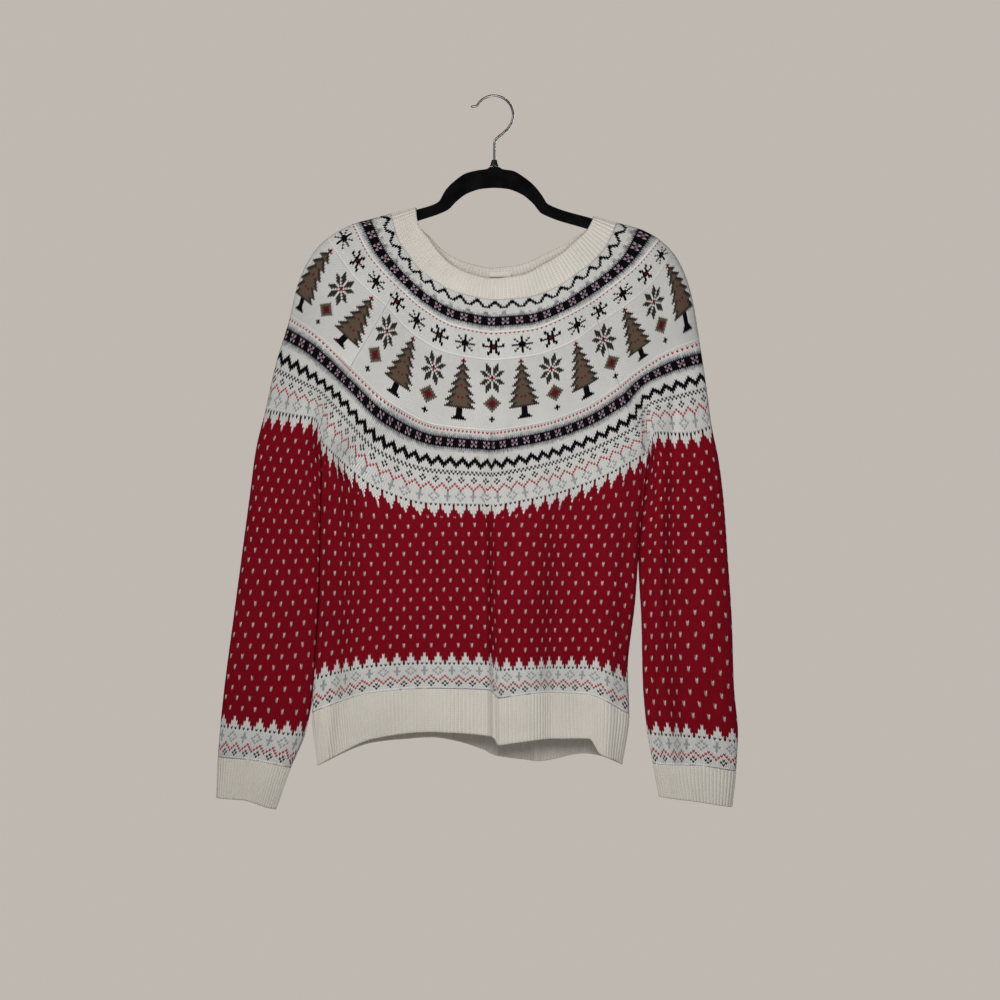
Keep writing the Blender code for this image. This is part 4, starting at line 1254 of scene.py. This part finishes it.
def ribBand(name, path, low, high, length, closed):
    # A band of single ribs along a path of (side, first station, last station, ribs), between
    # two table rows: the cloth's face, moved out by each rib's profile. The inside has ridges
    # where the outside has grooves.
    stations, sides = [], []
    across = len(ribs["profile"])
    for side, start, end, count in path:
        line, _ = evenStations(name, side, start, end, (low + high) / 2, across * count)
        stations.append(line[:-1])
        part = np.full(across * count, float(side))
        if closed:
            part[0] = 0.0
        sides.append(part)
    if not closed:
        stations.append(line[-1:])
        sides.append(sides[-1][-1:])
    stations, sides = np.concatenate(stations), np.concatenate(sides)
    lines = np.linspace(low, high, max(2, round(length / ribs["row"])) + 1)
    grid = np.repeat(lines[:, None], len(stations), 1)
    points, outward = facePoints(name, grid, np.broadcast_to(stations, grid.shape), sides)
    column = np.arange(len(stations))
    profile = np.array(ribs["profile"])[column % across]
    each = dice.normal(1, ribs["unlike"], len(stations) // across + 1)[column // across]
    relief = ribs["relief"] * profile * each
    drift = dice.normal(0, ribs["uneven"], grid.shape)
    cloth = newCloth()
    outer = addPoints(cloth, points + outward * (relief + drift)[..., None])
    inner = addPoints(cloth, points + outward * (relief - drift - garment["cloth"])[..., None])
    if closed:
        outer, inner = (np.append(a, a[:, :1], 1) for a in (outer, inner))
    u = np.arange(outer.shape[1])[None, :] / across
    v = -np.arange(len(lines))[:, None]
    cream = yarnLinear["c"]
    addQuads(cloth, outer, u, v, cream)
    addQuads(cloth, inner, u, v, cream, slot=1, flip=True)
    rimV = np.array([[0], [-1]])
    for rim in ((inner[0], outer[0]), (outer[-1], inner[-1])):
        addQuads(cloth, np.stack(rim), u, rimV, cream)
    if not closed:
        for rim in ((inner[:, 0], outer[:, 0]), (outer[:, -1], inner[:, -1])):
            addQuads(cloth, np.stack(rim)[:, ::-1], np.arange(len(lines))[None, :], rimV, cream)
    return cloth


ribKnit = knitMaterial("wool blend rib", 0.0002, 0.08, 0.9)
hemRow = len(tables["front"]) - 2
cuffRow = len(tables["left"]) - 2
# Node, table, path, first and last table row, length down in mm, and whether it is a ring
bands = (
    ("hem_rib_front", "front", ((-1, 3, 11, ribs["hem"]),), hemRow, hemRow + 1, 55, False),
    ("hem_rib_back", "back", ((1, 11, 3, ribs["hem"]),), hemRow, hemRow + 1, 58, False),
    ("cuff_left", "left", ((1, 3, 0, ribs["cuff"]), (-1, 0, 3, ribs["cuff"])), cuffRow,
     cuffRow + 1, 50, True),
    ("cuff_right", "right", ((-1, 11, 14, ribs["cuff"]), (1, 14, 11, ribs["cuff"])), cuffRow,
     cuffRow + 1, 45, True),
    ("neckband", "neck", ((-1, 0, 14, ribs["neck"]), (1, 14, 0, ribs["neck"])), 0, 1, 27, True),
)
for node, name, path, low, high, length, closed in bands:
    cloth = ribBand(name, path, low, high, length, closed)
    made[node] = buildPiece("ribbed_" + node, cloth, [ribKnit, ribKnit])
    print("ribbed", node, len(made[node].data.polygons), "faces")

hanger = {  # millimetres, as the hanger stands behind the neck
    "top": (
        (-202, -182), (-201.3, -177), (-196, -172.8), (-99, -141.9), (-70, -131.8), (-60, -115.8),
        (-49, -105), (-35, -95.6), (-18, -91.5), (-9, -90.3), (-5, -87.6), (6, -87.6),
        (10, -90.3), (23.4, -92.5), (38, -100.8), (50.3, -111.1), (60.6, -124), (66.9, -133.8),
        (125, -152.9), (193, -175.4), (198.3, -179.8), (199.2, -184.5),
    ),
    "foot": (
        (-202, -183), (-198, -187.6), (-192, -187), (-95, -155.2), (-57.5, -141.3),
        (-47.1, -130.9), (-32.6, -120.5), (-14, -114.9), (0.5, -113.9), (15, -114.9),
        (33.8, -121.5), (48.3, -133), (59.6, -146), (119.8, -166.4), (189, -190), (195, -190.6),
        (198.5, -187), (199.2, -185.5),
    ),
    "halfThickness": 2.5,
    "edge": 1.7,        # rounding of the edges
    "sections": 150,    # along it, between the ends
    "endSpan": 6,       # from either end, where the sections lie closer
    "endThins": 2.5,    # from either end, where it thins out
    "wire": 1.55,       # radius of the hook's wire
    "wireSides": 20,
    "bendOver": 7,      # length over which the hook's line is evened out
    "stem": ((0.5, -86.5), (0.5, -55.5), (4.2, -51), (10, -46.5), (17, -40.5)),
    "arc": (24.0, -24.0, 155.0),    # radius, first and last degrees
    "tip": ((-25.5, -12.1), (-29, -12.3)),
    "collarAt": (0.5, -79.0),
    "collar": (  # radius and height, bore to rim and back
        (1.85, 0), (3.0, 0), (3.45, -0.15), (3.6, -0.6), (4.2, -3), (4.9, -5.6), (5.5, -7),
        (5.6, -7.4), (5.45, -7.85), (5.0, -8), (1.85, -8),
    ),
    "turn": 40,         # sides round the collar
}
label = {
    "centre": (8.0, -227.5), "width": 27.0, "height": 18.0, "thickness": 0.8,
    "grid": (28, 19),   # points across and down
    "clear": 2.95,      # mm, from the back of the neckband's outer face
    "bow": (0.2, 0.25),  # mm, how far its face bulges, and how much that waves across it
    "border": (-0.2249, -0.2244),   # m, heights of a dark line painted across the label: a painted shadow where the front neckband's edge lies before it
    "shadowLineFade": 0.0004,
    "thread": 0.0006,   # m, from one thread to the next
}


def plainPiece(name, points, faces, material, sharp=40.0):
    # A mesh in metres from millimetre points, smooth but for edges sharper than an angle.
    mesh = bpy.data.meshes.new(name)
    mesh.from_pydata((points * mm).tolist(), [], faces)
    mesh.materials.append(material)
    mesh.shade_smooth()
    mesh.set_sharp_from_angle(angle=math.radians(sharp))
    piece = bpy.data.objects.new(name, mesh)
    bpy.context.scene.collection.objects.link(piece)
    return piece


def ringFaces(count, around, capped=True, closed=False):
    # Quads between rings of points that follow each other, with a cap on either end.
    rings = np.arange(count * around).reshape(count, around)
    following = np.roll(rings, -1, 0) if closed else rings[1:]
    first = rings if closed else rings[:-1]
    quads = np.stack([first, np.roll(first, -1, 1), np.roll(following, -1, 1), following], -1)
    faces = quads.reshape(-1, 4).tolist()
    if capped:
        faces += [rings[0][::-1].tolist(), rings[-1].tolist()]
    return faces


def smoothLine(line, x):
    # Height of a line of (x, z) points at x: a cubic between them with no overshoot.
    line = np.array(line, float)
    steps = np.diff(line, axis=0)
    slope = steps[:, 1] / steps[:, 0]
    sameWay = slope[1:] * slope[:-1]
    total = np.where(sameWay > 0, slope[1:] + slope[:-1], 1.0)
    inner = np.where(sameWay > 0, 2 * sameWay / total, 0.0)
    slopes = np.concatenate([slope[:1], inner, slope[-1:]])
    first = np.clip(np.searchsorted(line[:, 0], x, side="right") - 1, 0, len(steps) - 1)
    width = steps[first, 0]
    t = (x - line[first, 0]) / width
    return hermite(line[first, 1], line[first + 1, 1], slopes[first] * width,
                   slopes[first + 1] * width, t)


def hangerBody(material):
    # Upright sections along X between the top and foot lines, each a rectangle with its corners
    # rounded as quarter circles. The ends thin out as a quarter ellipse.
    low, high = hanger["top"][0][0], hanger["top"][-1][0]
    span, steps = hanger["endSpan"], 6
    near = span * (1 - np.cos(np.linspace(0, math.pi / 2, 12)))
    between = np.linspace(low + span, high - span, hanger["sections"])[1:-1]
    x = np.concatenate([low + near, between, high - near[::-1]])
    top, foot = smoothLine(hanger["top"], x), smoothLine(hanger["foot"], x)
    half = np.maximum((top - foot) / 2, 0.4)
    reach = np.clip(np.minimum(x - low, high - x) / hanger["endThins"], 0, 1)
    thick = hanger["halfThickness"] * np.clip(np.sqrt(1 - (1 - reach) ** 2), 0.25, 1)
    edge = np.minimum(hanger["edge"], 0.95 * np.minimum(half, thick))
    corner = np.linspace(0, math.pi / 2, steps)
    angles = np.concatenate([corner + k * math.pi / 2 for k in range(4)])
    signY = np.repeat([1, -1, -1, 1], steps)
    signZ = np.repeat([1, 1, -1, -1], steps)
    half, thick, edge = half[:, None], thick[:, None], edge[:, None]
    y = signY * (thick - edge) + edge * np.cos(angles)
    z = ((top + foot) / 2)[:, None] + signZ * (half - edge) + edge * np.sin(angles)
    points = np.stack([np.broadcast_to(x[:, None], y.shape), y, z], -1).reshape(-1, 3)
    return plainPiece("flocked_hanger_body", points, ringFaces(len(x), 4 * steps), material)


def hookWire(material):
    # A round tube along the hook's line, which is cut into 1 mm steps, evened out over a few of
    # them, and closed with rounded ends.
    radius, start, end = hanger["arc"]
    angles = np.radians(np.linspace(start, end, 60))
    centre = hanger["wire"] - radius
    arc = np.stack([radius * np.cos(angles), centre + radius * np.sin(angles)], -1)
    line = np.concatenate([hanger["stem"], arc, hanger["tip"]])
    length = np.append(0, np.cumsum(np.linalg.norm(np.diff(line, axis=0), axis=1)))
    even = np.arange(0, length[-1], 1.0)
    line = np.stack([np.interp(even, length, line[:, k]) for k in (0, 1)], -1)
    over = hanger["bendOver"]
    longer = [np.pad(part, over // 2, mode="reflect", reflect_type="odd") for part in line.T]
    soft = np.stack([np.convolve(part, np.ones(over) / over, "valid") for part in longer], -1)
    along = np.gradient(soft, axis=0)
    along = along / np.linalg.norm(along, axis=1, keepdims=True)
    around = np.linspace(0, 2 * math.pi, hanger["wireSides"], endpoint=False)
    size = np.full(len(soft), hanger["wire"])
    size[[0, -1]] *= 0.35  # the rounded ends
    size[[1, -2]] *= 0.92
    across = size[:, None] * np.cos(around)
    points = np.stack(
        [soft[:, :1] - along[:, 1:] * across, -size[:, None] * np.sin(around),
         soft[:, 1:] + along[:, :1] * across], -1
    )
    faces = ringFaces(len(soft), hanger["wireSides"])
    return plainPiece("steel_hook", points.reshape(-1, 3), faces, material, 60)


def hookCollar(material):
    # The profile turned about the hook's stem.
    profile = np.array(hanger["collar"], float)
    turn = np.linspace(0, 2 * math.pi, hanger["turn"], endpoint=False)
    x, z = hanger["collarAt"]
    radius, height = profile[:, :1], np.repeat(z + profile[:, 1:], len(turn), 1)
    points = np.stack([x + radius * np.cos(turn), radius * np.sin(turn), height], -1)
    faces = ringFaces(len(profile), hanger["turn"], capped=False, closed=True)
    faces = [face[::-1] for face in faces]
    return plainPiece("hook_collar", points.reshape(-1, 3), faces, material, 50)


def neckLabel(material):
    # A patch laid along the inside of the back neckband: its back keeps one distance from the
    # band, its face bulges off it in a shallow wave, and a rim joins the two.
    columns, rows = label["grid"]
    x = label["centre"][0] + label["width"] * np.linspace(-0.5, 0.5, columns)
    z = label["centre"][1] + label["height"] * np.linspace(0.5, -0.5, rows)
    flat = np.stack(np.meshgrid(x, z), -1)
    points, outward = standOff(flat, np.ones(flat.shape[:-1]))
    bulge, wave = label["bow"]
    wave = wave * np.sin(np.linspace(0, 3 * math.pi, columns))[None, :, None]
    back = points - outward * label["clear"]
    front = points - outward * (label["clear"] + label["thickness"] + bulge + wave)
    index = np.arange(columns * rows).reshape(rows, columns)
    quads = np.stack([index[:-1, :-1], index[1:, :-1], index[1:, 1:], index[:-1, 1:]], -1)
    quads = quads.reshape(-1, 4)
    rim = np.concatenate([index[0, :-1], index[:-1, -1], index[-1, :0:-1], index[:0:-1, 0]])
    other = rim + columns * rows
    sides = np.stack([rim, other, np.roll(other, -1), np.roll(rim, -1)], -1)
    faces = quads[:, ::-1].tolist() + (quads + columns * rows).tolist() + sides.tolist()
    points = np.concatenate([back.reshape(-1, 3), front.reshape(-1, 3)])
    return plainPiece("neck_label_cloth", points, faces, material)


def flockMaterial():
    # Black flocking: short dense pile, dull from the front and softly paler at a glancing view.
    material, tree, shader = newMaterial("black velvet flocking")
    where = addNode(tree, "ShaderNodeTexCoord")
    # Tufts of pile 0.4 mm across, coarser than real so as to show, and rubbed places of 17 mm
    pile = addNode(tree, "ShaderNodeTexNoise", {"Scale": 2600.0, "Detail": 2.0},
                   {"Vector": where.outputs["Object"]})
    rubbed = addNode(tree, "ShaderNodeTexNoise", {"Scale": 60.0, "Detail": 3.0},
                     {"Vector": where.outputs["Object"]})
    tone = addNode(tree, "ShaderNodeMapRange",
                   {"From Min": 0.35, "From Max": 0.7, "To Min": 0.0022, "To Max": 0.0055},
                   {"Value": rubbed.outputs["Fac"]})
    bump = addNode(tree, "ShaderNodeBump", {"Strength": 0.6, "Distance": 0.0003},
                   {"Height": pile.outputs["Fac"]})
    tree.links.new(tone.outputs[0], shader.inputs["Base Color"])
    tree.links.new(bump.outputs[0], shader.inputs["Normal"])
    shader.inputs["Roughness"].default_value = 1.0
    shader.inputs["Specular IOR Level"].default_value = 0.03
    shader.inputs["Sheen Weight"].default_value = 0.12
    shader.inputs["Sheen Roughness"].default_value = 0.6
    shader.inputs["Sheen Tint"].default_value = (*toLinear("#5a5a66"), 1.0)
    return material


def steelMaterial():
    # Plated steel wire, dulled a little by handling, with cloudy spots in its polish.
    material, tree, shader = newMaterial("plated steel wire")
    where = addNode(tree, "ShaderNodeTexCoord")
    # Clouds about 14 mm across
    marks = addNode(tree, "ShaderNodeTexNoise", {"Scale": 70.0, "Detail": 2.0},
                    {"Vector": where.outputs["Object"]})
    gloss = addNode(tree, "ShaderNodeMapRange",
                    {"From Min": 0.3, "From Max": 0.7, "To Min": 0.27, "To Max": 0.33},
                    {"Value": marks.outputs["Fac"]})
    tree.links.new(gloss.outputs[0], shader.inputs["Roughness"])
    shader.inputs["Base Color"].default_value = (*toLinear("#85837e"), 1.0)
    shader.inputs["Metallic"].default_value = 1.0
    return material


def collarMaterial():
    # Black moulded plastic with a satin skin and small scuffs.
    material, tree, shader = newMaterial("black moulded plastic")
    where = addNode(tree, "ShaderNodeTexCoord")
    # Scuffs about 1 mm across
    scuffs = addNode(tree, "ShaderNodeTexNoise", {"Scale": 900.0, "Detail": 4.0},
                     {"Vector": where.outputs["Object"]})
    gloss = addNode(tree, "ShaderNodeMapRange",
                    {"From Min": 0.4, "From Max": 0.7, "To Min": 0.38, "To Max": 0.6},
                    {"Value": scuffs.outputs["Fac"]})
    tree.links.new(gloss.outputs[0], shader.inputs["Roughness"])
    shader.inputs["Base Color"].default_value = (*toLinear("#131315"), 1.0)
    return material


def labelMaterial():
    # Woven cream label: fine crossed threads, and a dark line painted as the neckband edge's
    # shadow.
    material, tree, shader = newMaterial("woven label cloth")
    where = addNode(tree, "ShaderNodeTexCoord")
    split = addNode(tree, "ShaderNodeSeparateXYZ", links={0: where.outputs["Object"]})
    threads = []
    perMetre = 2 * math.pi / label["thread"]
    for axis in (0, 2):
        wave = addNode(tree, "ShaderNodeMath", {"operation": "MULTIPLY", 1: perMetre},
                       {0: split.outputs[axis]})
        threads.append(addNode(tree, "ShaderNodeMath", {"operation": "SINE"}, {0: wave.outputs[0]}))
    weave = addNode(tree, "ShaderNodeMath", {"operation": "MULTIPLY"},
                    {0: threads[0].outputs[0], 1: threads[1].outputs[0]})
    # Painted shadow: a dark line across the label where the front neckband's edge lies before it.
    low, high = label["border"]
    half = (high - low) / 2
    away = addNode(tree, "ShaderNodeMath", {"operation": "SUBTRACT", 1: (low + high) / 2},
                   {0: split.outputs[2]})
    away = addNode(tree, "ShaderNodeMath", {"operation": "ABSOLUTE"}, {0: away.outputs[0]})
    plain = addNode(tree, "ShaderNodeMapRange",
                    {"From Min": half, "From Max": half + label["shadowLineFade"],
                     "To Min": 0.0, "To Max": 1.0}, {"Value": away.outputs[0]})
    cloth = addNode(tree, "ShaderNodeMapRange",
                    {"From Min": -1.0, "From Max": 1.0, "To Min": 0.62, "To Max": 0.74},
                    {"Value": weave.outputs[0]})
    tone = addNode(tree, "ShaderNodeMix", {"data_type": "FLOAT", 2: 0.03},
                   {0: plain.outputs[0], 3: cloth.outputs[0]})
    tint = addNode(tree, "ShaderNodeVectorMath", {"operation": "SCALE", 0: (1.0, 0.96, 0.88)},
                   {"Scale": tone.outputs[0]})
    bump = addNode(tree, "ShaderNodeBump", {"Strength": 0.5, "Distance": 0.0001},
                   {"Height": weave.outputs[0]})
    tree.links.new(tint.outputs[0], shader.inputs["Base Color"])
    tree.links.new(bump.outputs[0], shader.inputs["Normal"])
    shader.inputs["Roughness"].default_value = 0.75
    return material


made["hanger_body"] = hangerBody(flockMaterial())
made["hanger_hook"] = hookWire(steelMaterial())
made["hanger_collar"] = hookCollar(collarMaterial())
made["neck_label"] = neckLabel(labelMaterial())
print("hanger, hook, collar and label built")

for node, piece in made.items():
    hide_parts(node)
    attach(piece, "root")

studio = {  # metres
    "floorHalf": 1.0,
    "floorHeight": -1.45,
    "cameraAway": 2.6,
    "cameraOver": (0.0075, -0.504),  # the x and z that the camera looks at
    "shownWidth": 1.25,              # what its frame spans at the garment
}


def paleMaterial(name, colour, roughness):
    # Matt painted board, which gives a plain pale ground with no shine.
    material, _, shader = newMaterial(name)
    shader.inputs["Base Color"].default_value = (*toLinear(colour), 1.0)
    shader.inputs["Roughness"].default_value = roughness
    return material


half, level = studio["floorHalf"], studio["floorHeight"]
corners = [(-half, -half, level), (half, -half, level), (half, half, level), (-half, half, level)]
floorMesh = bpy.data.meshes.new("floor")
floorMesh.from_pydata(corners, [], [(0, 1, 2, 3)])
floorMesh.materials.append(paleMaterial("pale studio floor", "#d8d6d2", 0.9))
floor = bpy.data.objects.new("floor", floorMesh)
bpy.context.scene.collection.objects.link(floor)


def paleWorld(seen, lighting):
    # The backdrop is pale to the eye, and a dimmer sky does the lighting.
    world = bpy.data.worlds.new("pale studio")
    bpy.context.scene.world = world
    world.use_nodes = True
    tree = world.node_tree
    sky = tree.nodes["Background"]
    sky.inputs["Color"].default_value = (*toLinear("#d6d8dc"), 1.0)
    sky.inputs["Strength"].default_value = lighting
    backdrop = addNode(tree, "ShaderNodeBackground",
                       {"Color": (*toLinear(seen), 1.0), "Strength": 1.0})
    ray = addNode(tree, "ShaderNodeLightPath")
    mix = addNode(tree, "ShaderNodeMixShader", links={0: ray.outputs["Is Camera Ray"],
                                                      1: sky.outputs[0], 2: backdrop.outputs[0]})
    tree.links.new(mix.outputs[0], tree.nodes["World Output"].inputs["Surface"])


paleWorld("#beb8b1", 0.16)


def softLight(name, place, target, size, power, colour="#ffffff"):
    # A square soft box that looks at target.
    light = bpy.data.lights.new(name, "AREA")
    light.size = size
    light.energy = power
    light.color = tuple(toLinear(colour))
    lamp = bpy.data.objects.new(name, light)
    lamp.location = place
    lamp.visible_camera = False
    way = np.array(target) - np.array(place)
    lamp.rotation_mode = "QUATERNION"
    lamp.rotation_quaternion = Vector(way).to_track_quat("-Z", "Y")
    bpy.context.scene.collection.objects.link(lamp)


softLight("key", (-1.6, -2.05, 0.9), (0, 0, -0.5), 0.5, 22, "#fffaf3")
softLight("front", (0.05, -0.9, -0.32), (0.02, 0, -0.45), 0.4, 5.6)
softLight("low fill", (0.2, -1.7, -1.5), (0, 0, -0.75), 0.8, 3)
softLight("back fill", (0.5, 2.0, 0.4), (0, 0, -0.5), 1.6, 56)

camera = bpy.data.objects.new("camera", bpy.data.cameras.new("camera"))
cameraX, cameraZ = studio["cameraOver"]
camera.location = (cameraX, -studio["cameraAway"], cameraZ)
camera.rotation_euler = (math.pi / 2, 0, 0)
camera.data.lens = camera.data.sensor_width * studio["cameraAway"] / studio["shownWidth"]
bpy.context.scene.collection.objects.link(camera)
bpy.context.scene.camera = camera
bpy.context.scene.view_settings.view_transform = "Standard"
